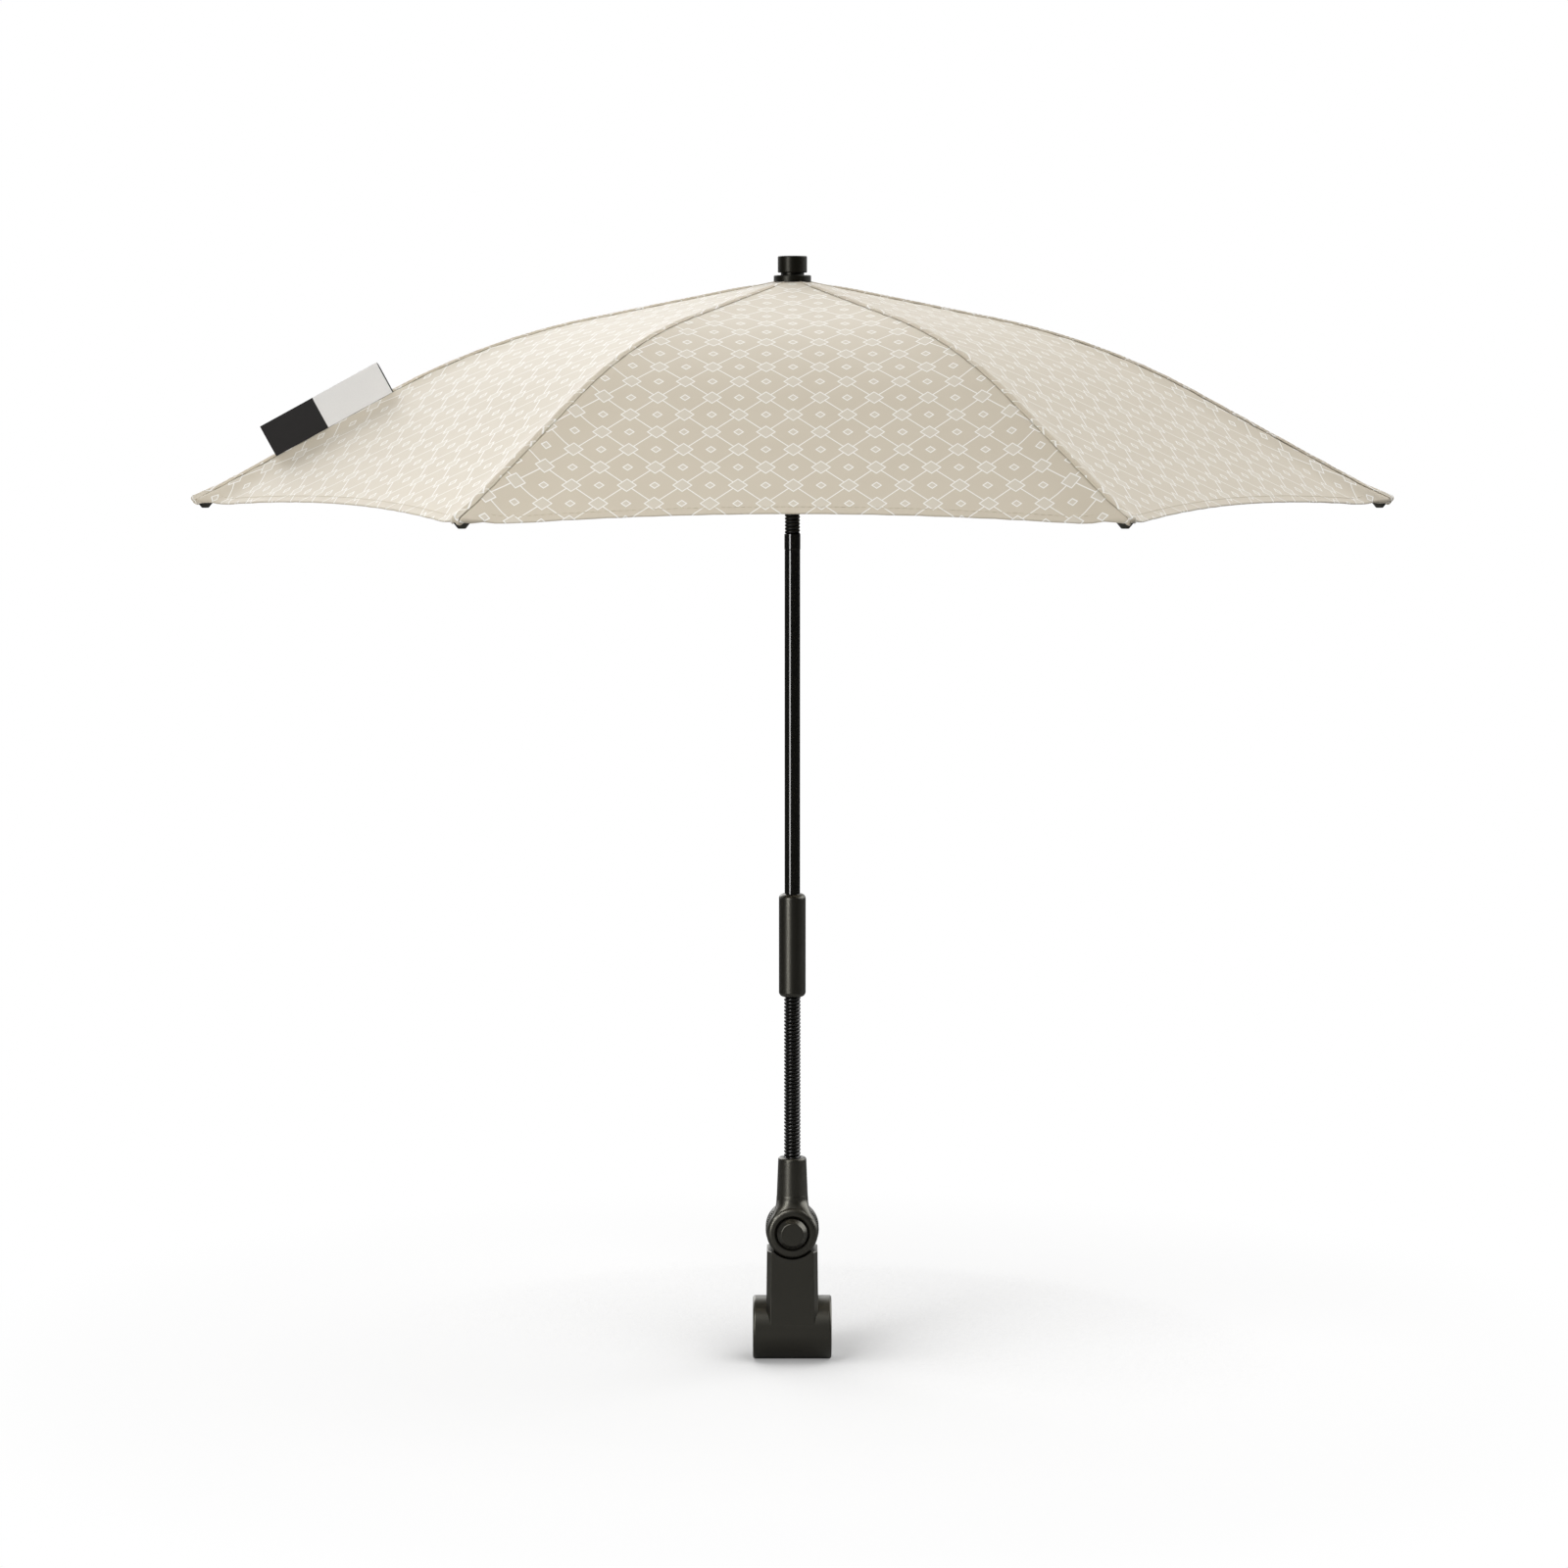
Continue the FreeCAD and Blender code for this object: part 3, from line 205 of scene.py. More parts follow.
# Label: a folded tape on one rib, between two distances out along it. Its dark end starts at a
# share of its length
LABEL_RIB = 4
LABEL_RADII = (257.0, 332.0)
LABEL_REACH = LABEL_RADII[1] - LABEL_RADII[0]
LABEL_LENGTH = LABEL_REACH / math.cos(OUTER_ANGLE)
LABEL_HEIGHT = 21.6
LABEL_SPLIT = 0.55
LABEL_SIDE = 2.75
LABEL_ROOT = -0.9
LABEL_STRAIGHT = LABEL_HEIGHT - 0.2
LABEL_FOLD_RADIUS = 0.24
LABEL_BELLY = 0.3
LABEL_FOLD_WIDTH = 3
LABEL_BACK_SHOWS = 0.6
LABEL_WAVE_HEIGHT = 0.7
LABEL_WAVE_TURN = 5.2
LABEL_WAVE_START = 0.6
LABEL_COLUMNS = 48
LABEL_SIDE_ROWS = 13
LABEL_FOLD_ROWS = 6
TAPE_THICKNESS = 0.22

# Floor, in metres: its size, and the distances from the origin between which its light changes
FLOOR_REACH = 30.0
FLOOR_GAP = 0.0001
FLOOR_FADE = (0.1, 0.6)
FLOOR_SHADE = (0.35, 0.9)
FLOOR_PALE = (0.8, 0.8, 0.8, 1)
FLOOR_DARK = (0.04, 0.04, 0.04, 1)
FLOOR_MIRRORED = 0.74
# Shadow painted into the floor's glow: what is near blocks the sky above, and the lamps' side
SHADOW_SAMPLES = 12
SKY_REACH = 0.25
LAMP_REACH = 0.3
LAMP_WAY = (-0.36, -0.84, 0.4)
LAMP_POWER = 3.5
DEEPEST_SHADOW = 0.42
# Light of the surroundings: in front of the object, and what is added behind it
ROOM_FRONT = 0.03
ROOM_BACK = 0.87
ROOM_TURN = (0.0, 0.7)

# Camera, fitted to the photograph: place in metres, fall in degrees, lens and sensor
CAMERA_PLACE = (-0.0054, -2.8444, 0.6415)
CAMERA_FALL = 5.68
CAMERA_LENS = 101.05
CAMERA_SENSOR = 36.0
CAMERA_CLIP = (0.05, 200.0)


class Wire:
    """A shader socket. Sums on it add Math nodes, and node() adds any other node."""

    def __init__(self, tree, socket=None):
        self.tree = tree
        self.socket = socket

    def node(self, kind, settings=None, sockets=None, output=0):
        """Adds a node with its settings, and gives its sockets their values or links."""
        made = self.tree.nodes.new("ShaderNode" + kind)
        for key, value in (settings or {}).items():
            setattr(made, key, value)
        for key, value in (sockets or {}).items():
            place = pick(made.inputs, key)
            if isinstance(value, Wire):
                self.tree.links.new(value.socket, place)
            else:
                place.default_value = value
        return Wire(self.tree, pick(made.outputs, output) if made.outputs else None)

    def sum(self, operation, first, second):
        """A Math node on two values."""
        return self.node("Math", {"operation": operation}, {0: first, 1: second})

    def __add__(self, other):
        return self.sum("ADD", self, other)

    def __sub__(self, other):
        return self.sum("SUBTRACT", self, other)

    def __rsub__(self, other):
        return self.sum("SUBTRACT", other, self)

    def __mul__(self, other):
        return self.sum("MULTIPLY", self, other)

    def __truediv__(self, other):
        return self.sum("DIVIDE", self, other)

    def __pow__(self, other):
        return self.sum("POWER", self, other)

    __radd__ = __add__
    __rmul__ = __mul__

    def sine(self, period):
        return self.node("Math", {"operation": "SINE"}, {0: self * (2 * math.pi / period)})

    def to_nearest(self):
        """Distance to the nearest whole number."""
        return self.node("Math", {"operation": "PINGPONG"}, {0: self, 1: 0.5})

    def larger(self, other):
        return self.sum("MAXIMUM", self, other)

    def smaller(self, other):
        return self.sum("MINIMUM", self, other)

    def size(self):
        return self.node("Math", {"operation": "ABSOLUTE"}, {0: self})

    def step(self, low, high):
        """0 below low and 1 above high, with a smooth rise between."""
        return self.node(
            "MapRange",
            {"interpolation_type": "SMOOTHSTEP"},
            {"Value": self, "From Min": low, "From Max": high},
        )

    def tint(self, start, end):
        """A colour that goes from start to end as this value goes from 0 to 1."""
        sockets = {"Factor_Float": self, "A_Color": start, "B_Color": end}
        return self.node("Mix", {"data_type": "RGBA"}, sockets, "Result_Color")


def pick(sockets, key):
    """A socket by its place, its identifier or its name."""
    if isinstance(key, int):
        return sockets[key]
    return next(s for s in sockets if key in (s.identifier, s.name))


def tone(red, green, blue):
    """A colour written as screen values, made linear."""
    values = [v / 255 for v in (red, green, blue)]
    return (*[v / 12.92 if v <= 0.04045 else ((v + 0.055) / 1.055) ** 2.4 for v in values], 1.0)


def finish(name, fixed, varied):
    """A material. fixed are the sockets that are the same all over, and varied gives the others."""
    material = bpy.data.materials.new(name)
    material.use_nodes = True
    material.node_tree.nodes.clear()
    start = Wire(material.node_tree)
    shader = start.node("BsdfPrincipled", {}, {**fixed, **varied(start)})
    start.node("OutputMaterial", {}, {"Surface": shader})
    return material


def grain(start, place, scale, detail=2.0, rough=0.5):
    """Cloudy variation around a half, with features of one metre over scale."""
    sockets = {"Vector": place, "Scale": scale, "Detail": detail, "Roughness": rough}
    return start.node("TexNoise", {}, sockets)


def relief(start, height, distance, strength=1.0):
    """A bumped normal, distance in metres."""
    return start.node("Bump", {}, {"Height": height, "Distance": distance, "Strength": strength})


# Printed cloth: colours, and the trellis of its print
CLOTH_GROUND = tone(207, 197, 178)
CLOTH_SHADE = tone(201, 190, 170)
PRINT_LINE = tone(244, 242, 237)
PRINT_FILL = tone(212, 204, 188)
TRELLIS_WIDTH = 32.0
TRELLIS_HEIGHT = 36.0
LINE_HALF = 0.0155
LINE_SOFT = 0.005
LOZENGE = 0.17
SMALL_LOZENGE = 0.085
THREAD_PITCH = 0.5
CLOUD_SCALE = 26.0
SLUB_SCALE = 420.0
WEAVE_DEPTH = 0.00005
WEAVE_STRENGTH = 0.5


def flat_cut(start):
    """Place on the flat cut of a cloth, in millimetres along its two threads."""
    uv = start.node("UVMap", {"uv_map": "flat_cut"})
    across = start.node("SeparateXYZ", {}, {0: uv}, 0)
    along = start.node("SeparateXYZ", {}, {0: uv}, 1)
    return uv, across * 1000, along * 1000


def trellis(across, along):
    """Masks of the print's lines and of the lozenges they close."""
    one = across / TRELLIS_WIDTH + along / TRELLIS_HEIGHT
    two = across / TRELLIS_WIDTH - along / TRELLIS_HEIGHT
    near_one = one.to_nearest()
    near_two = two.to_nearest()
    crossing = near_one.larger(near_two)
    middle = (0.5 - near_one).larger(0.5 - near_two)
    bars = near_one.smaller(near_two) + (LOZENGE - crossing).step(0, LINE_SOFT)
    rings = (crossing - LOZENGE).size().smaller((middle - SMALL_LOZENGE).size())
    lines = 1 - bars.smaller(rings).step(LINE_HALF - LINE_SOFT, LINE_HALF + LINE_SOFT)
    inside = (LOZENGE - crossing).larger(SMALL_LOZENGE - middle).step(0, LINE_SOFT)
    return lines, inside


def plain_weave(across, along):
    """Over and under of a plain weave, from -1 to 1."""
    return across.sine(2 * THREAD_PITCH) * along.sine(2 * THREAD_PITCH)


def printed_cloth(start):
    uv, across, along = flat_cut(start)
    lines, inside = trellis(across, along)
    weave = plain_weave(across, along)
    cloud = grain(start, uv, CLOUD_SCALE)
    slub = grain(start, uv, SLUB_SCALE)
    ground = (cloud * 0.7 + slub * 0.3).tint(CLOTH_SHADE, CLOTH_GROUND)
    filled = (inside * 0.8).tint(ground, PRINT_FILL)
    printed = (lines * (0.9 + weave * 0.08)).tint(filled, PRINT_LINE)
    return {
        "Base Color": printed,
        "Roughness": 0.56 + slub * 0.12 - lines * 0.06,
        "Normal": relief(
            start, weave * 0.5 + slub * 0.6 + lines * 0.5, WEAVE_DEPTH, WEAVE_STRENGTH
        ),
    }


LINING = tone(196, 186, 167)
LINING_PRINT = tone(206, 198, 182)


def cloth_inside(start):
    uv, across, along = flat_cut(start)
    lines, inside = trellis(across, along)
    weave = plain_weave(across, along)
    slub = grain(start, uv, SLUB_SCALE)
    shows_through = lines * 0.55 + inside * 0.2
    return {
        "Base Color": shows_through.tint(slub.tint(CLOTH_SHADE, LINING), LINING_PRINT),
        "Roughness": 0.72 + slub * 0.1,
        "Normal": relief(start, weave * 0.5 + slub * 0.6, WEAVE_DEPTH, WEAVE_STRENGTH),
    }


SEWING_THREAD = tone(208, 197, 176)
SEWING_THREAD_PALE = tone(222, 213, 195)


def sewing_thread(start):
    place = start.node("TexCoord", {}, {}, "Object")
    twist = grain(start, place, scale=3000.0)
    return {
        "Base Color": twist.tint(SEWING_THREAD, SEWING_THREAD_PALE),
        "Roughness": 0.55 + twist * 0.2,
        "Normal": relief(start, twist, distance=0.00008, strength=0.6),
    }


TAPE_BLACK = tone(20, 18, 18)
TAPE_BLACK_SHINE = tone(33, 31, 31)
TAPE_GREY = tone(234, 233, 231)
TAPE_GREY_SHADE = tone(224, 223, 221)
TAPE_PITCH = 0.34


def label_tape(start):
    uv, along, across = flat_cut(start)
    dark = (along - LABEL_SPLIT * LABEL_LENGTH).step(-0.15, 0.15)
    back = (across - LABEL_HEIGHT).step(-0.2, 0.2)
    ribs = (along + across * 0.35).sine(TAPE_PITCH)
    picks = across.sine(TAPE_PITCH * 1.7)
    fuzz = grain(start, uv, scale=900.0)
    mix = fuzz * 0.6 + ribs * 0.2 + 0.2
    pale = mix.tint(TAPE_GREY_SHADE, TAPE_GREY)
    black = mix.tint(TAPE_BLACK, TAPE_BLACK_SHINE)
    return {
        "Base Color": dark.larger(back).tint(pale, black),
        "Roughness": 0.55 + fuzz * 0.2,
        "Normal": relief(
            start, ribs * 0.6 + picks * 0.4 + fuzz, distance=0.00006, strength=0.6
        ),
    }


CHARCOAL = tone(14, 13, 10)
CHARCOAL_PALE = tone(20, 19, 14)
CHARCOAL_WORN = tone(44, 42, 34)
PLASTIC_SHINE = (1.0, 0.97, 0.84, 1.0)


def moulded_plastic(scale, roughness, wear):
    """Charcoal plastic from a spark-etched mould, worn a little smoother where hands reach."""

    def varied(start):
        place = start.node("TexCoord", {}, {}, "Object")
        etched = grain(start, place, scale, detail=3.0, rough=0.6)
        flow = grain(start, place, scale=35.0)
        scuffs = grain(start, place, scale=220.0, detail=4.0, rough=0.7).step(0.62, 0.78)
        colour = (flow * 0.6 + etched * 0.4).tint(CHARCOAL, CHARCOAL_PALE)
        return {
            "Base Color": (scuffs * wear).tint(colour, CHARCOAL_WORN),
            "Roughness": roughness + etched * 0.12 + flow * 0.06 - scuffs * 0.08,
            "Normal": relief(start, etched, distance=0.00006, strength=0.35),
        }

    return varied


GRIP_RUBBER = tone(43, 43, 42)
GRIP_RUBBER_PALE = tone(58, 57, 55)


def grip_rubber(start):
    place = start.node("TexCoord", {}, {}, "Object")
    matt = grain(start, place, scale=1800.0, detail=3.0)
    bloom = grain(start, place, scale=60.0)
    return {
        "Base Color": (bloom * 0.6 + matt * 0.4).tint(GRIP_RUBBER, GRIP_RUBBER_PALE),
        "Roughness": 0.78 + matt * 0.14,
        "Normal": relief(start, matt, distance=0.00008, strength=0.5),
    }


LACQUER = tone(14, 14, 10)
LACQUER_PALE = tone(19, 18, 13)


def gloss_lacquer(start):
    place = start.node("TexCoord", {}, {}, "Object")
    peel = grain(start, place, scale=500.0)
    wipe = grain(start, place, scale=24.0, detail=4.0)
    return {
        "Base Color": wipe.tint(LACQUER, LACQUER_PALE),
        "Roughness": 0.14 + wipe * 0.06,
        "Normal": relief(start, peel, distance=0.00002, strength=0.3),
    }


BLACKENED = tone(9, 9, 7)
BLACKENED_PALE = tone(15, 14, 12)


def blackened_steel(start):
    place = start.node("TexCoord", {}, {}, "Object")
    coat = grain(start, place, scale=900.0, detail=3.0)
    patch = grain(start, place, scale=70.0)
    return {
        "Base Color": (patch * 0.7 + coat * 0.3).tint(BLACKENED, BLACKENED_PALE),
        "Roughness": 0.2 + coat * 0.1,
        "Normal": relief(start, coat, distance=0.00003, strength=0.4),
    }


BRIGHT_STEEL = tone(176, 176, 173)
BRIGHT_STEEL_DULL = tone(140, 139, 136)


def bright_steel(start):
    place = start.node("TexCoord", {}, {}, "Object")
    drawn = start.node("Mapping", {}, {"Vector": place, "Scale": (400.0, 400.0, 3000.0)})
    lines = grain(start, drawn, scale=1.0, detail=3.0)
    tarnish = grain(start, place, scale=90.0)
    return {
        "Base Color": (tarnish * 0.7 + lines * 0.3).tint(BRIGHT_STEEL_DULL, BRIGHT_STEEL),
        "Roughness": 0.3 + lines * 0.15,
        "Normal": relief(start, lines, distance=0.00003, strength=0.3),
    }


HARD_SHINE = {"Specular IOR Level": 1.0, "Specular Tint": PLASTIC_SHINE}
CAP_SHINE = {"Specular IOR Level": 0.25, "Specular Tint": PLASTIC_SHINE}

CLOTH = finish(
    "printed_cloth",
    {"Specular IOR Level": 0.5, "Sheen Weight": 0.32, "Sheen Roughness": 0.4},
    printed_cloth,
)
LINED = finish("cloth_inside", {"Sheen Weight": 0.15, "Sheen Roughness": 0.5}, cloth_inside)
THREAD = finish("sewing_thread", {"Sheen Weight": 0.2}, sewing_thread)
TAPE = finish("label_tape", {"Specular IOR Level": 0.3, "Sheen Weight": 0.06}, label_tape)
PLASTIC = finish(
    "moulded_plastic", HARD_SHINE, moulded_plastic(scale=3200.0, roughness=0.27, wear=0.3)
)
BUTTON = finish(
    "button_plastic", HARD_SHINE, moulded_plastic(scale=4500.0, roughness=0.26, wear=0.4)
)
CAP = finish("cap_plastic", CAP_SHINE, moulded_plastic(scale=3200.0, roughness=0.26, wear=0.2))
RUBBER = finish("grip_rubber", {"Specular IOR Level": 0.3}, grip_rubber)
LACQUERED = finish("gloss_lacquer", {"Specular IOR Level": 0.6, "Coat Weight": 0.5}, gloss_lacquer)
SPRING = finish("blackened_steel", {"Specular IOR Level": 0.5}, blackened_steel)
STEEL = finish("bright_steel", {"Metallic": 1.0}, bright_steel)

NODE_FINISH = {
    "clamp_body": PLASTIC,
    "swivel_arm": PLASTIC,
    "connector_sleeve": PLASTIC,
    "detent_disc": PLASTIC,
    "runner": PLASTIC,
    "crown": PLASTIC,
    "rib_tip": PLASTIC,
    "top_cap": CAP,
    "lock_button": BUTTON,
    "clamp_liner": RUBBER,
    "mast_tube": LACQUERED,
    "upper_tube": LACQUERED,
    "lower_ferrule": LACQUERED,
    "upper_ferrule": LACQUERED,
    "rib": SPRING,
    "stretcher": SPRING,
    "runner_catch": STEEL,
    "pivot_bolt": STEEL,
    "bolt_washer": STEEL,
    "crown_pins": STEEL,
    "runner_pins": STEEL,
    "rib_rivet": STEEL,
}


def dress_nodes():
    """Give each CAD node that stays in view its finish."""
    for name, node in nodes.items():
        kind = name.rstrip("0123456789").rstrip("_")
        if kind in NODE_FINISH:
            node.data.materials.clear()
            node.data.materials.append(NODE_FINISH[kind])


def piece(name, points, faces, finishes, cut=None):
    """A smooth mesh object from points in millimetres, with its flat cut as a UV map."""
    mesh = bpy.data.meshes.new(name)
    mesh.from_pydata((np.asarray(points) * MM).tolist(), [], faces)
    mesh.polygons.foreach_set("use_smooth", np.ones(len(mesh.polygons), bool))
    for material in finishes:
        mesh.materials.append(material)
    if cut is not None:
        corners = np.zeros(len(mesh.loops), np.int32)
        mesh.loops.foreach_get("vertex_index", corners)
        layer = mesh.uv_layers.new(name="flat_cut")
        layer.data.foreach_set("uv", (np.asarray(cut)[corners] * MM).astype(np.float32).ravel())
    made = bpy.data.objects.new(name, mesh)
    bpy.context.scene.collection.objects.link(made)
    return made


def grid_faces(rows, columns, flip=False):
    """Faces of a grid of points that is written row by row."""
    faces = []
    for i in range(rows - 1):
        for j in range(columns - 1):
            a = i * columns + j
            face = (a, a + 1, a + columns + 1, a + columns)
            faces.append(face[::-1] if flip else face)
    return faces


def tube_faces(rings, sides, first=0):
    """Faces of a tube that is written ring by ring from the point first, with both ends closed."""
    faces = []
    for i in range(rings - 1):
        for k in range(sides):
            a = first + i * sides + k
            b = first + i * sides + (k + 1) % sides
            faces.append((a, b, b + sides, a + sides))
    last = first + (rings - 1) * sides
    faces.append(tuple(first + k for k in range(sides))[::-1])
    faces.append(tuple(last + k for k in range(sides)))
    return faces


def thicken(made, thickness, inner=0):
    """Cloth thickness on the underside, with another finish inside if asked."""
    mesh = made.data
    uses = np.zeros(len(mesh.edges), np.int32)
    sides = np.zeros(len(mesh.loops), np.int32)
    mesh.loops.foreach_get("edge_index", sides)
    np.add.at(uses, sides, 1)
    mesh.edges.foreach_set("use_edge_sharp", uses == 1)
    solid = made.modifiers.new("cloth", "SOLIDIFY")
    solid.thickness = thickness * MM
    solid.offset = -1
    solid.material_offset = inner


def rise(value, low, high):
    """0 below low and 1 above high, with a smooth rise between."""
    t = np.clip((value - low) / (high - low), 0, 1)
    return t * t * (3 - 2 * t)


def rib_level(r):
    """Height of the canopy's outer face along a rib."""
    bend = BEND_CENTRE_Z + np.sqrt(np.maximum(BEND_RADIUS ** 2 - (r - BEND_CENTRE_R) ** 2, 0))
    inner = CANOPY_Z - (r - FLANGE_RADIUS) * math.tan(INNER_ANGLE)
    outer = BEND_END_Z - (r - BEND_END) * math.tan(OUTER_ANGLE)
    return np.where(r < BEND_START, inner, np.where(r > BEND_END, outer, bend))


def rib_slope(r):
    """Fall of the canopy along a rib, as an angle."""
    bend = np.arcsin(np.clip((r - BEND_CENTRE_R) / BEND_RADIUS, -1, 1))
    return np.clip(bend, INNER_ANGLE, OUTER_ANGLE)


def hem_line(side):
    """Distance out along a rib at which the hem lies, at a distance to the side of the rib."""
    lean = side / COS30
    b = 2 * COS30 * HEM_CENTRE + lean
    c = HEM_CENTRE ** 2 + lean ** 2 - HEM_RADIUS ** 2
    return (b - np.sqrt(b * b - 4 * c)) / 2


def on_cloth(r, y, lift):
    """Points of the canopy near one rib, raised square to the rib's slope."""
    side = np.abs(y)
    dip = GORE_SAG * (r / TIP_RADIUS) ** 2 * (1 - np.exp(-(side / RIDGE_HALF_WIDTH) ** 2))
    slope = rib_slope(r)
    x = r - side * TAN30 + lift * np.sin(slope)
    z = rib_level(r) - dip + lift * np.cos(slope)
    return np.stack([x, y + np.zeros_like(x), z], -1)


def gore_length_table():
    """Length down the middle of a gore, for each distance out along a rib."""
    r = np.linspace(0.0, GORE_TABLE_END, GORE_TABLE_POINTS)
    z = rib_level(r) - GORE_SAG * (r / TIP_RADIUS) ** 2
    step = np.hypot(np.diff(r) * COS30, np.diff(z))
    return r, np.concatenate([[0.0], np.cumsum(step)])


GORE_R, GORE_S = gore_length_table()


def turned(points, rib):
    """Points of one rib's frame set round the mast."""
    angle = math.radians(RIB_STEP * (rib - 1))
    c, s = math.cos(angle), math.sin(angle)
    x, y, z = np.moveaxis(np.asarray(points), -1, 0)
    return np.stack([x * c - y * s, x * s + y * c + MAST_Y, z], -1)


def turned_way(way, rib):
    """Directions of one rib's frame set round the mast."""
    return turned(way, rib) - np.array([0, MAST_Y, 0])


def half_side(rib, over):
    """Side of its rib on which half a gore lies. over tells the half on top at the seam."""
    return -CREASE_SIDE[rib] if over else CREASE_SIDE[rib]


def column_places(r, section, over):
    """Distance of each column from the rib, towards the crease: the seam's own, then the gore's."""
    reach = np.array([q for q, _ in section])
    share = np.linspace(0, 1, GORE_COLUMNS + 1)[1:] ** COLUMN_CROWDING
    way = -1 if over else 1
    room = np.minimum(1, COS30 / 2 * r / SEAM_ROOM)[:, None]
    near = reach[None, :] * room
    middle = way * COS30 / 2 * r[:, None]
    far = near[:, -1:] + (middle - near[:, -1:]) * share[None, :]
    return np.concatenate([near, far], 1)


def column_hems(section, over):
    """Distance out along the rib at which each column meets the hem."""
    hem = np.full(len(section) + GORE_COLUMNS, TIP_RADIUS)
    for _ in range(HEM_PASSES):
        q = [column_places(np.array([h]), section, over)[0, j] for j, h in enumerate(hem)]
        hem = hem_line(np.abs(np.array(q)))
    return hem


def with_waves(lift, r, q, from_hem, phase):
    """Height of the cloth with its puckers, ripple and gathers added."""
    shift, slow = PUCKER_DRIFT
    pucker = np.exp(-(q / PUCKER_REACH) ** 2) * rise(r, *PUCKER_RISE)
    wave = np.sin(r / PUCKER_WAVE + shift * np.sin(r / slow + phase) + phase)
    lift = lift + PUCKER_HEIGHT * pucker * wave
    shift, slow = RIPPLE_DRIFT
    fade = 1 - rise(np.abs(q), *RIPPLE_FADE)
    ripple = RIPPLE_HEIGHT * np.exp(-from_hem / RIPPLE_REACH) * fade
    lift = lift + ripple * np.sin(q / RIPPLE_WAVE + shift * np.sin(q / slow + phase))
    gather = np.exp(-(q / GATHER_REACH) ** 2 - from_hem / GATHER_REACH)
    return lift + GATHER_HEIGHT * gather * np.sin(q * GATHER_TURN + phase)


def hem_ways(q, y):
    """How far the hem faces away from the rib, and its directions outwards and upwards."""
    share = rise(np.abs(q), 0, CORNER_TURN_WIDTH)
    turn = CORNER_TURN * share * np.sign(y)
    slope = OUTER_ANGLE + HEM_DROP * share
    level, steep = np.cos(slope), np.sin(slope)
    out = np.stack([np.cos(turn) * level, np.sin(turn) * level, -steep], -1)
    up = np.stack([np.cos(turn) * steep, np.sin(turn) * steep, level], -1)
    return turn, out, up


def rolled_hem(edge, run, q, roll, out, up):
    """Rows that roll the edge under and turn it in, with their run along the flat cut."""
    rows, runs = [], []
    for k in range(1, ROLL_ROWS + 1):
        angle = math.pi * k / ROLL_ROWS
        moved = up * (math.cos(angle) - 1) + out * math.sin(angle)
        rows.append(edge + roll[:, None] * moved)
        runs.append(run + roll * angle)
    under, under_run = rows[-1], runs[-1]
    for k in range(1, TURN_IN_ROWS + 1):
        inward = HEM_TURN_IN * (1 - np.exp(-(q / CORNER_WIDTH) ** 4)) * k / TURN_IN_ROWS
        rows.append(under - inward[:, None] * out)
        runs.append(under_run + inward)
    return np.stack(rows), np.stack(runs)


def cloth_half(rib, section, over):
    """One side of a panel: from the seam to the middle of the gore, with its rolled hem.

    section is the seam's own columns, and over tells the side that lies on top.
    Gives points in the rib's frame, their places on the flat cut, and the rows and columns.
    """
    hem = column_hems(section, over)
    outer = hem[None, :] - np.array(HEM_ROWS)[::-1, None]
    inner = np.linspace(0, 1, INNER_ROWS + 1)[:-1, None] ** ROW_CROWDING
    r = np.concatenate([HOLE_RADIUS + (outer[0][None, :] - HOLE_RADIUS) * inner, outer], 0)
    q = np.stack([column_places(r[:, j], section, over)[:, j] for j in range(len(hem))], 1)
    y = CREASE_SIDE[rib] * q
    from_hem = hem[None, :] - r
    phase = PHASE_STEP * rib + (PHASE_OVER if over else 0)
    height = np.concatenate([[h for _, h in section], np.zeros(GORE_COLUMNS)])
    lift = height[None, :] * rise(r, *SEAM_RISE)
    points = on_cloth(r, y, with_waves(lift, r, q, from_hem, phase))
    along = np.interp(r, GORE_R, GORE_S)

    edge_q = q[-1]
    turn, out, up = hem_ways(edge_q, y[-1])
    flat, fall = math.cos(CORNER_SLOPE), math.sin(CORNER_SLOPE)
    over_tip = np.stack([np.cos(turn) * flat, np.sin(turn) * flat, np.full(len(hem), -fall)], -1)
    pocket = np.exp(-(edge_q / CORNER_REACH) ** 4)
    stretch = CORNER_STRETCH * pocket * np.exp(-from_hem / POCKET_DEPTH)
    points = points + stretch[..., None] * over_tip[None]
    corner = np.exp(-(edge_q / CORNER_WIDTH) ** 2)
    pleats = 1 + PLEAT_SHARE * np.sin(edge_q * PLEAT_TURN + phase)
    roll = HEM_ROLL + CORNER_ROLL * corner * pleats
    hem_points, hem_along = rolled_hem(points[-1], along[-1], edge_q, roll, out, up)

    points = np.concatenate([points, hem_points], 0)
    along = np.concatenate([along, hem_along], 0)
    r = np.concatenate([r, np.repeat(r[-1:], len(hem_points), 0)], 0)
    q = np.concatenate([q, np.repeat(q[-1:], len(hem_points), 0)], 0)
    into_gore = -q if over else q
    across = -half_side(rib, over) * (r / 2 - into_gore / COS30)
    cut = np.stack([across, -along], -1)
    return points.reshape(-1, 3), cut.reshape(-1, 2), points.shape[:2]


def flat_area(points, faces):
    """Area of a mesh of quads in square metres."""
    a, b, c, d = (points[[f[k] for f in faces]] for k in range(4))
    one = np.linalg.norm(np.cross(b - a, c - a), axis=1)
    two = np.linalg.norm(np.cross(c - a, d - a), axis=1)
    return float((one + two).sum() / 2) * MM * MM


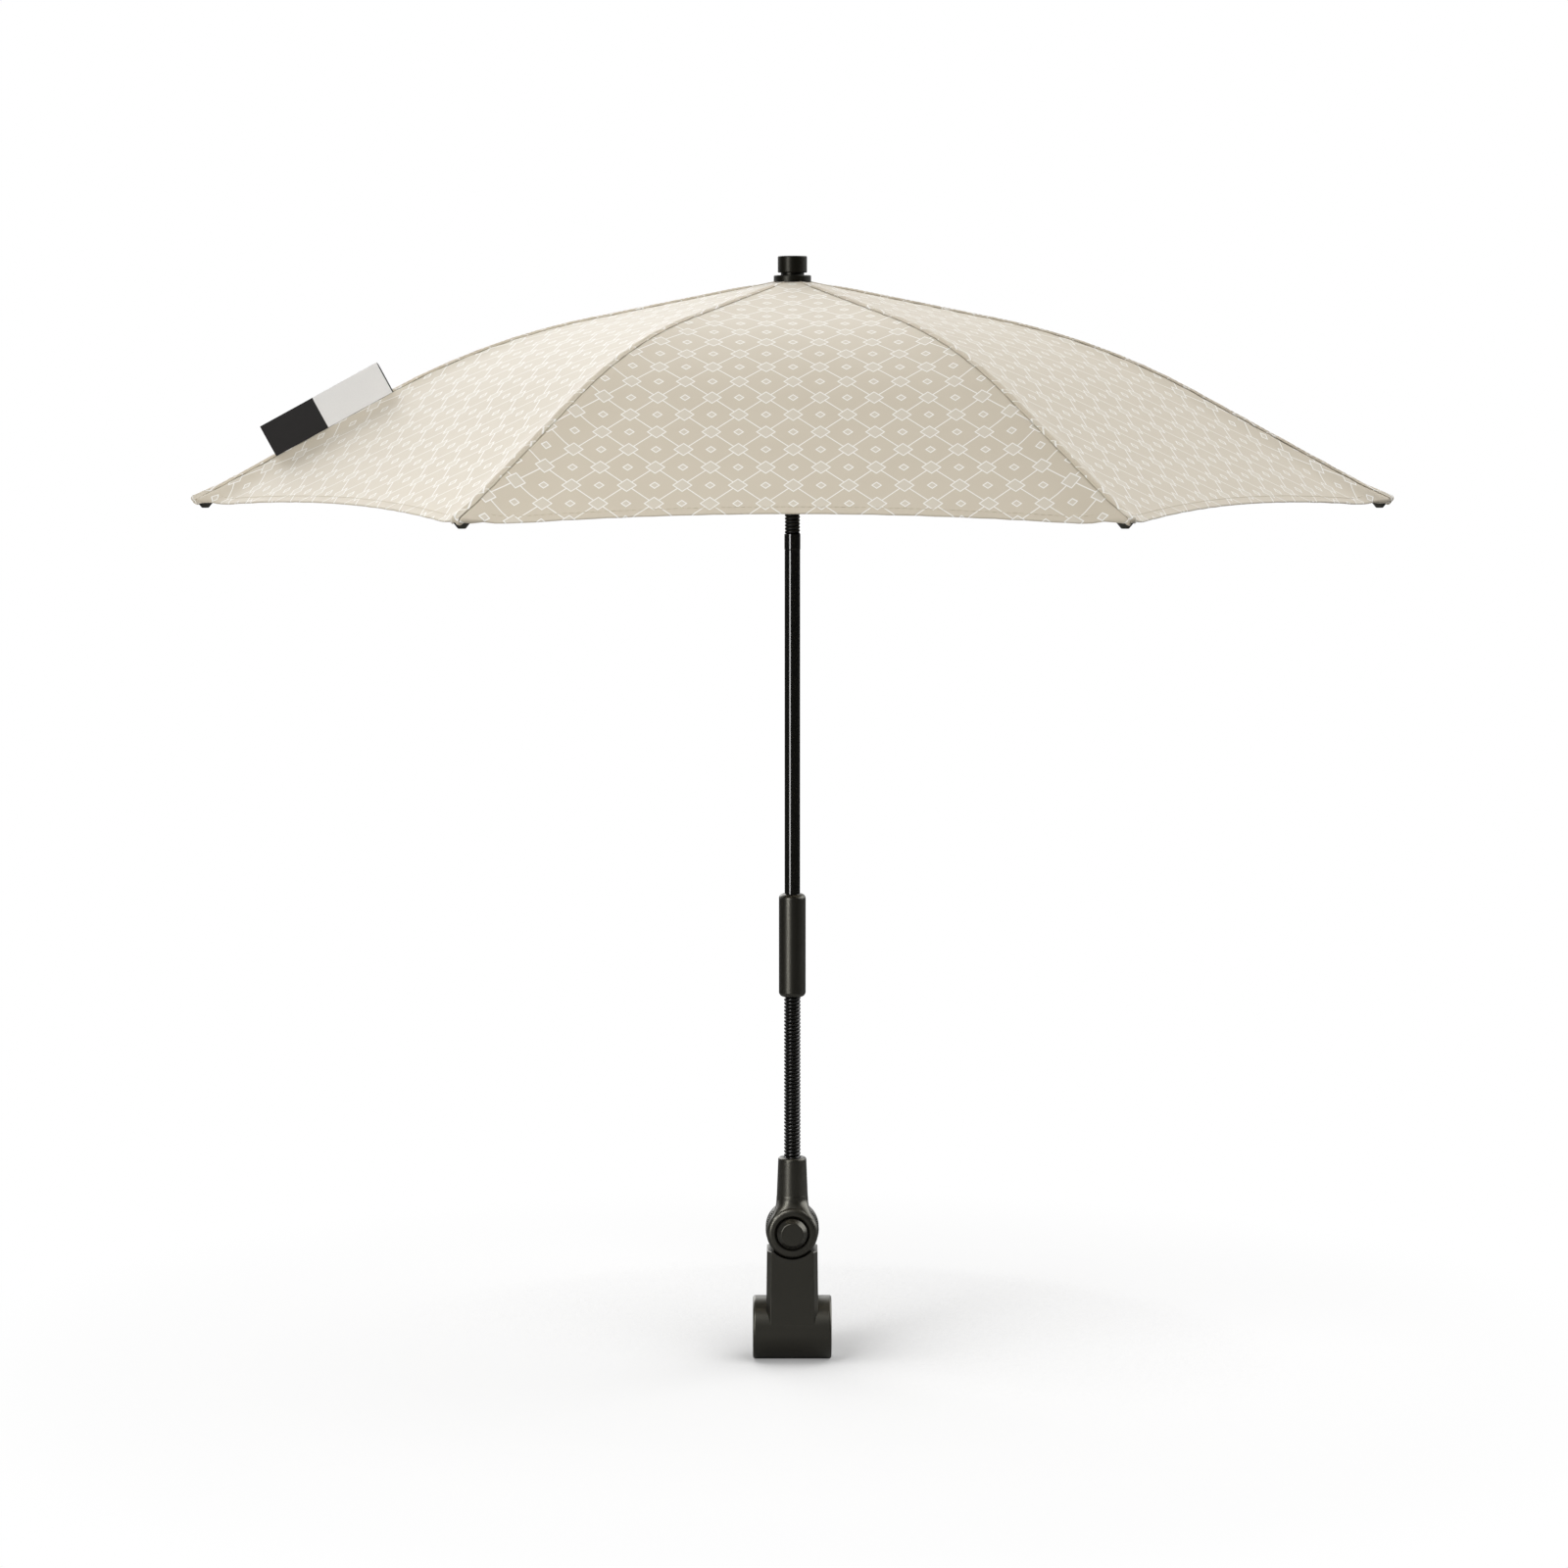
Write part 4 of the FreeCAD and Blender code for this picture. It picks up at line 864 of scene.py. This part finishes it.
def fold_with_rib(made, rib, side):
    """Half a gore rides on its rib. The axis along its own slope, on which it would be drawn in to
    the rib in the fold, is worked out but not used.
    """
    crest = np.linspace(FLANGE_RADIUS, TIP_RADIUS, CREST_POINTS)
    level = rib_level(crest)
    slope = math.atan2(level[0] - level[-1], TIP_RADIUS - FLANGE_RADIUS)
    top = np.argmax(level + crest * math.tan(slope))
    depth = math.sin(slope) * TAN30
    axis = np.array([-depth * math.sin(slope), side, -depth * math.cos(slope)])
    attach(made, f"rib_{rib}")
    turned_way(axis, rib)
    turned([crest[top], 0, level[top]], rib) * MM
    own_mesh(made)


def half_gore(rib, section, over):
    """Cloth on one side of a rib, from the felled seam to the middle of the gore."""
    side = half_side(rib, over)
    points, cut, (rows, columns) = cloth_half(rib, section, over)
    points = turned(points, rib)
    faces = grid_faces(rows, columns, side == 1)
    made = piece(f"canopy_cloth_{rib}{HALF_NAME[side]}", points, faces, [CLOTH, LINED], cut)
    thicken(made, CLOTH_THICKNESS, 1)
    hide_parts(f"canopy_panel_{rib}")
    fold_with_rib(made, rib, side)
    threads = half_threads(rib, side, over)
    round(flat_area(points, faces), 4)


def stitch_row(name, starts, ends, ups):
    """Single stitches as small tapered tubes."""
    way = ends - starts
    length = np.linalg.norm(way, axis=1, keepdims=True)
    way = way / length
    across = np.cross(ups, way)
    across /= np.linalg.norm(across, axis=1, keepdims=True)
    up = np.cross(way, across)
    points = []
    for along, thick, high in STITCH_RINGS:
        centre = starts + way * length * along + up * STITCH_RADIUS * high
        for k in range(STITCH_SIDES):
            angle = 2 * math.pi * k / STITCH_SIDES
            spoke = across * math.cos(angle) + up * math.sin(angle)
            points.append(centre + spoke * STITCH_RADIUS * thick)
    points = np.stack(points, 1)
    faces = []
    for n in range(len(starts)):
        faces += tube_faces(len(STITCH_RINGS), STITCH_SIDES, n * points.shape[1])
    return piece(name, points.reshape(-1, 3), faces, [THREAD])


def seam_stitches(rib):
    """Stitch line along the seam's folded edge."""
    r = np.arange(SEAM_STITCH_START, SEAM_STITCH_END, STITCH_PITCH)
    y = CREASE_SIDE[rib] * SEAM_STITCH_SIDE * np.ones_like(r)
    lift = SEAM_STITCH_LIFT * rise(r, *SEAM_RISE)
    starts = on_cloth(r, y, lift)
    ends = on_cloth(r + STITCH_LENGTH, y, lift)
    slope = rib_slope(r)
    ups = np.stack([np.sin(slope), np.zeros_like(r), np.cos(slope)], -1)
    return starts, ends, ups


def hem_stitches(side):
    """Stitch line along the hem, on one side of a rib."""
    q = np.arange(HEM_STITCH_START, HEM_STITCH_END, STITCH_PITCH) * side
    far = q + STITCH_LENGTH * side
    starts = on_cloth(hem_line(np.abs(q)) - HEM_STITCH_INSET, q, HEM_STITCH_LIFT)
    ends = on_cloth(hem_line(np.abs(far)) - HEM_STITCH_INSET, far, HEM_STITCH_LIFT)
    ups = np.repeat([[math.sin(OUTER_ANGLE), 0, math.cos(OUTER_ANGLE)]], len(q), 0)
    return starts, ends, ups


def half_threads(rib, side, over):
    """Stitching of half a gore: its hem, and the seam if this half lies on top there."""
    rows = [hem_stitches(side)] + ([seam_stitches(rib)] if over else [])
    starts, ends, ups = (np.concatenate([row[k] for row in rows]) for k in range(3))
    name = f"canopy_stitches_{rib}{HALF_NAME[side]}"
    made = stitch_row(name, turned(starts, rib), turned(ends, rib), turned_way(ups, rib))
    fold_with_rib(made, rib, side)
    return made


def tape_path():
    """Section of the folded tape: up one side, over the fold and down the other."""
    path = []
    for k in range(LABEL_SIDE_ROWS):
        h = LABEL_ROOT + LABEL_STRAIGHT * k / (LABEL_SIDE_ROWS - 1)
        belly = LABEL_BELLY * math.sin(math.pi * k / (LABEL_SIDE_ROWS - 1))
        path.append((LABEL_FOLD_RADIUS + belly, h))
    top = path[-1][1]
    for k in range(1, LABEL_FOLD_ROWS):
        angle = math.pi * k / LABEL_FOLD_ROWS
        aside, up = LABEL_FOLD_RADIUS * math.cos(angle), LABEL_FOLD_RADIUS * math.sin(angle)
        path.append((aside, top + up))
    path += [(-y, h) for y, h in path[:LABEL_SIDE_ROWS][::-1]]
    return np.array(path)


def woven_label():
    """Folded loop of tape that stands up out of the seam."""
    path = tape_path()
    aside, up = path.T
    run = np.concatenate([[0], np.cumsum(np.hypot(*np.diff(path, axis=0).T))])
    run *= 2 * LABEL_HEIGHT / run[-1]
    behind = rise(run, LABEL_HEIGHT - LABEL_FOLD_WIDTH, LABEL_HEIGHT + LABEL_FOLD_WIDTH)
    sway = (np.clip(up, 0, None) / LABEL_HEIGHT) ** 2
    points, cut = [], []
    for a in np.linspace(0, 1, LABEL_COLUMNS):
        r = LABEL_RADII[0] + LABEL_REACH * a - LABEL_BACK_SHOWS * behind * (1 - a)
        wave = LABEL_WAVE_HEIGHT * math.sin(LABEL_WAVE_TURN * a + LABEL_WAVE_START) * sway
        y = CREASE_SIDE[LABEL_RIB] * (LABEL_SIDE + aside + wave)
        slope = rib_slope(r)
        points.append(np.stack([r + up * np.sin(slope), y, rib_level(r) + up * np.cos(slope)], -1))
        cut.append(np.stack([np.full(len(path), a * LABEL_LENGTH), run], -1))
    faces = grid_faces(LABEL_COLUMNS, len(path))
    points = turned(np.concatenate(points), LABEL_RIB)
    made = piece("label_tape", points, faces, [TAPE], np.concatenate(cut))
    thicken(made, TAPE_THICKNESS)
    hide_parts("woven_label")
    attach(made, f"rib_{LABEL_RIB}")


def wound(name, centre, radius, wire, pitch, low, high, origin, material, axis="z"):
    """A closely wound wire along an axis, its turns counted from origin."""
    count = int(TURN_POINTS * (high - low) / pitch) + 1
    turns = np.linspace((low - origin) / pitch, (high - origin) / pitch, count)
    angle = 2 * math.pi * turns
    level = origin + pitch * turns
    lead = math.atan2(pitch, 2 * math.pi * radius)
    points = []
    for k in range(WIRE_SIDES):
        turn = 2 * math.pi * k / WIRE_SIDES
        spoke = radius + wire * math.cos(turn)
        climb = wire * math.sin(turn)
        x = spoke * np.cos(angle) + climb * math.sin(lead) * np.sin(angle)
        y = spoke * np.sin(angle) - climb * math.sin(lead) * np.cos(angle)
        points.append(np.stack([x, y, level + climb * math.cos(lead)], -1))
    points = np.stack(points, 1)
    if axis == "y":
        points = points[..., [0, 2, 1]] * np.array([1, 1, -1])
    points = points + np.array(centre)
    return piece(name, points.reshape(-1, 3), tube_faces(count, WIRE_SIDES), [material])


def core_rod(name, radius, low, high, material):
    """Plain core inside a coil, in short lengths so that it can bend."""
    points = []
    for level in np.linspace(low, high, CORE_LEVELS):
        for k in range(CORE_SIDES):
            angle = 2 * math.pi * k / CORE_SIDES
            points.append((radius * math.cos(angle), MAST_Y + radius * math.sin(angle), level))
    return piece(name, points, tube_faces(CORE_LEVELS, CORE_SIDES), [material])


def flexible_length(name, number, coil, core, ends, origin, bend):
    """A wound coil on its core between two levels. The ends of its bend from one body to the next
    are worked out, but not used.
    """
    low, high = ends
    wire = wound(
        f"{name}_coil_{number}",
        (0, MAST_Y, 0),
        **coil,
        low=low,
        high=high,
        origin=origin,
        material=SPRING,
    )
    rod = core_rod(f"{name}_core_{number}", core, low, high, SPRING)
    start, end = ((0, MAST_Y * MM, level * MM) for level in bend)
    for made, node in ((wire, f"{name}_coil"), (rod, f"{name}_core")):
        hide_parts(node)
        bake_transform(made)
        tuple(start)
        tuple(end)


def gooseneck():
    """Coil and core between the knuckle's arm and the sleeve, in two halves."""
    for half in range(2):
        flexible_length(
            "gooseneck",
            half + 1,
            GOOSENECK_COIL,
            GOOSENECK_CORE,
            GOOSENECK_Z[half:half + 2],
            GOOSENECK_Z[0],
            GOOSENECK_BEND[half],
        )


def upper_flex():
    """Coil and core of the short flex under the canopy."""
    flexible_length("flex", 1, FLEX_COIL, FLEX_CORE, FLEX_Z, FLEX_Z[0], FLEX_Z)


def button_spring():
    """Return spring behind the lock button."""
    low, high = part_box("lock_spring")
    front, back = low.y / MM + SPRING_END_ROOM, high.y / MM - SPRING_END_ROOM
    middle = (low + high) / 2 / MM
    made = wound(
        "lock_spring_wire",
        (middle.x, 0, middle.z),
        radius=(high.x - low.x) / 2 / MM - SPRING_WIRE,
        wire=SPRING_WIRE,
        pitch=(back - front) / SPRING_TURNS,
        low=front,
        high=back,
        origin=front,
        material=STEEL,
        axis="y",
    )
    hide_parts("lock_spring")
    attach(made, "arm")
    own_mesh(made)


def canopy():
    """Two half gores on each rib, with their stitching, and the label."""
    for rib in range(1, RIB_COUNT + 1):
        half_gore(rib, WELT, True)
        half_gore(rib, GROOVE, False)
    woven_label()


def studio():
    """Pale floor, soft lights and the photograph's camera."""
    scene = bpy.context.scene
    scene.view_settings.view_transform = "Standard"

    floor_mesh = bpy.data.meshes.new("floor")
    level = CAD_LOW.z - FLOOR_GAP
    square = [(-1, -1), (1, -1), (1, 1), (-1, 1)]
    corners = [(x * FLOOR_REACH, y * FLOOR_REACH, level) for x, y in square]
    floor_mesh.from_pydata(corners, [], [(0, 1, 2, 3)])
    floor = bpy.data.objects.new("floor", floor_mesh)
    scene.collection.objects.link(floor)
    floor_mesh.materials.append(floor_finish())

    softbox(
        "front_left",
        place=(-1.2, -1.65, 0.5),
        towards=(0, 0, 0.35),
        width=0.5,
        height=1.7,
        brightness=10.5,
    )
    sun("key", from_side=(-0.34, -0.59, 0.73), strength=0.85, spread=12)
    sun("back_left", from_side=(-0.35, 0.8, 0.5), strength=1.1, spread=40)
    sun("right", from_side=(0.8, 0.15, 0.58), strength=2.24, spread=60)
    world_light(scene)

    camera = bpy.data.objects.new("camera", bpy.data.cameras.new("camera"))
    scene.collection.objects.link(camera)
    camera.location = CAMERA_PLACE
    camera.rotation_euler = (math.radians(90 - CAMERA_FALL), 0, 0)
    camera.data.sensor_width = CAMERA_SENSOR
    camera.data.lens = CAMERA_LENS
    camera.data.clip_start, camera.data.clip_end = CAMERA_CLIP
    scene.camera = camera


def sun(name, from_side, strength, spread):
    """A wide soft lamp that shines from the given side, spread over an angle in degrees."""
    lamp = bpy.data.lights.new(name, "SUN")
    lamp.energy = strength
    lamp.angle = math.radians(spread)
    made = bpy.data.objects.new(name, lamp)
    bpy.context.scene.collection.objects.link(made)
    made.rotation_mode = "QUATERNION"
    made.rotation_quaternion = Vector(from_side).to_track_quat("Z", "Y")


def softbox(name, place, towards, width, height, brightness):
    """A flat soft lamp of the given size, as bright all over as the number says."""
    lamp = bpy.data.lights.new(name, "AREA")
    lamp.shape = "RECTANGLE"
    lamp.size = width
    lamp.size_y = height
    lamp.energy = math.pi * width * height * brightness
    made = bpy.data.objects.new(name, lamp)
    bpy.context.scene.collection.objects.link(made)
    made.location = place
    made.rotation_mode = "QUATERNION"
    made.rotation_quaternion = (Vector(place) - Vector(towards)).to_track_quat("Z", "Y")
    made.visible_camera = False


def floor_finish():
    """White paper floor that keeps the object's shadow, with a painted shadow in its glow, and
    fades to plain white away from it.
    """
    material = bpy.data.materials.new("paper_floor")
    material.use_nodes = True
    material.node_tree.nodes.clear()
    start = Wire(material.node_tree)
    seen = start.node("LightPath", {}, {}, "Is Camera Ray")
    place = start.node("TexCoord", {}, {}, "Object")
    out = start.node("VectorMath", {"operation": "LENGTH"}, {0: place}, "Value")
    fade = 0.6 + out.step(*FLOOR_FADE) * 0.4
    samples = {"samples": SHADOW_SAMPLES}
    open_sky = start.node("AmbientOcclusion", samples, {"Distance": SKY_REACH}, "AO")
    lamp_way = start.node("CombineXYZ", {}, dict(zip("XYZ", LAMP_WAY)))
    lamp_sockets = {"Distance": LAMP_REACH, "Normal": lamp_way}
    lamp_side = start.node("AmbientOcclusion", samples, lamp_sockets, "AO")
    shade = out.step(*FLOOR_SHADE)
    mirrored = start.node("LightPath", {}, {}, "Is Glossy Ray")
    sweep = shade.larger(mirrored * FLOOR_MIRRORED).tint(FLOOR_PALE, FLOOR_DARK)
    paper = start.node("BsdfDiffuse", {}, {"Color": sweep})
    # Painted shadow: occlusion near the floor, and towards the lamps' side, darkens its glow.
    shadow = (0.45 + open_sky * 0.55) * lamp_side ** LAMP_POWER
    lit = {"Color": shadow.larger(DEEPEST_SHADOW), "Strength": 1.0}
    white = start.node("Emission", {}, lit)
    mixed = start.node("MixShader", {}, {"Fac": seen * fade, 1: paper, 2: white})
    start.node("OutputMaterial", {}, {"Surface": mixed})
    return material


def world_light(scene):
    """White surroundings behind the object and a dimmer room in front of it."""
    world = bpy.data.worlds.new("studio")
    scene.world = world
    world.use_nodes = True
    world.node_tree.nodes.clear()
    start = Wire(world.node_tree)
    way = start.node("TexCoord", {}, {}, "Generated")
    depth = start.node("SeparateXYZ", {}, {0: way}, 1)
    room = ROOM_FRONT + depth.step(*ROOM_TURN) * ROOM_BACK
    seen = start.node("LightPath", {}, {}, "Is Camera Ray")
    strength = room * (1 - seen) + seen
    back = start.node("Background", {}, {"Color": (1, 1, 1, 1), "Strength": strength})
    start.node("OutputWorld", {}, {"Surface": back})


dress_nodes()
canopy()
gooseneck()
upper_flex()
button_spring()
studio()

bpy.context.view_layer.update()
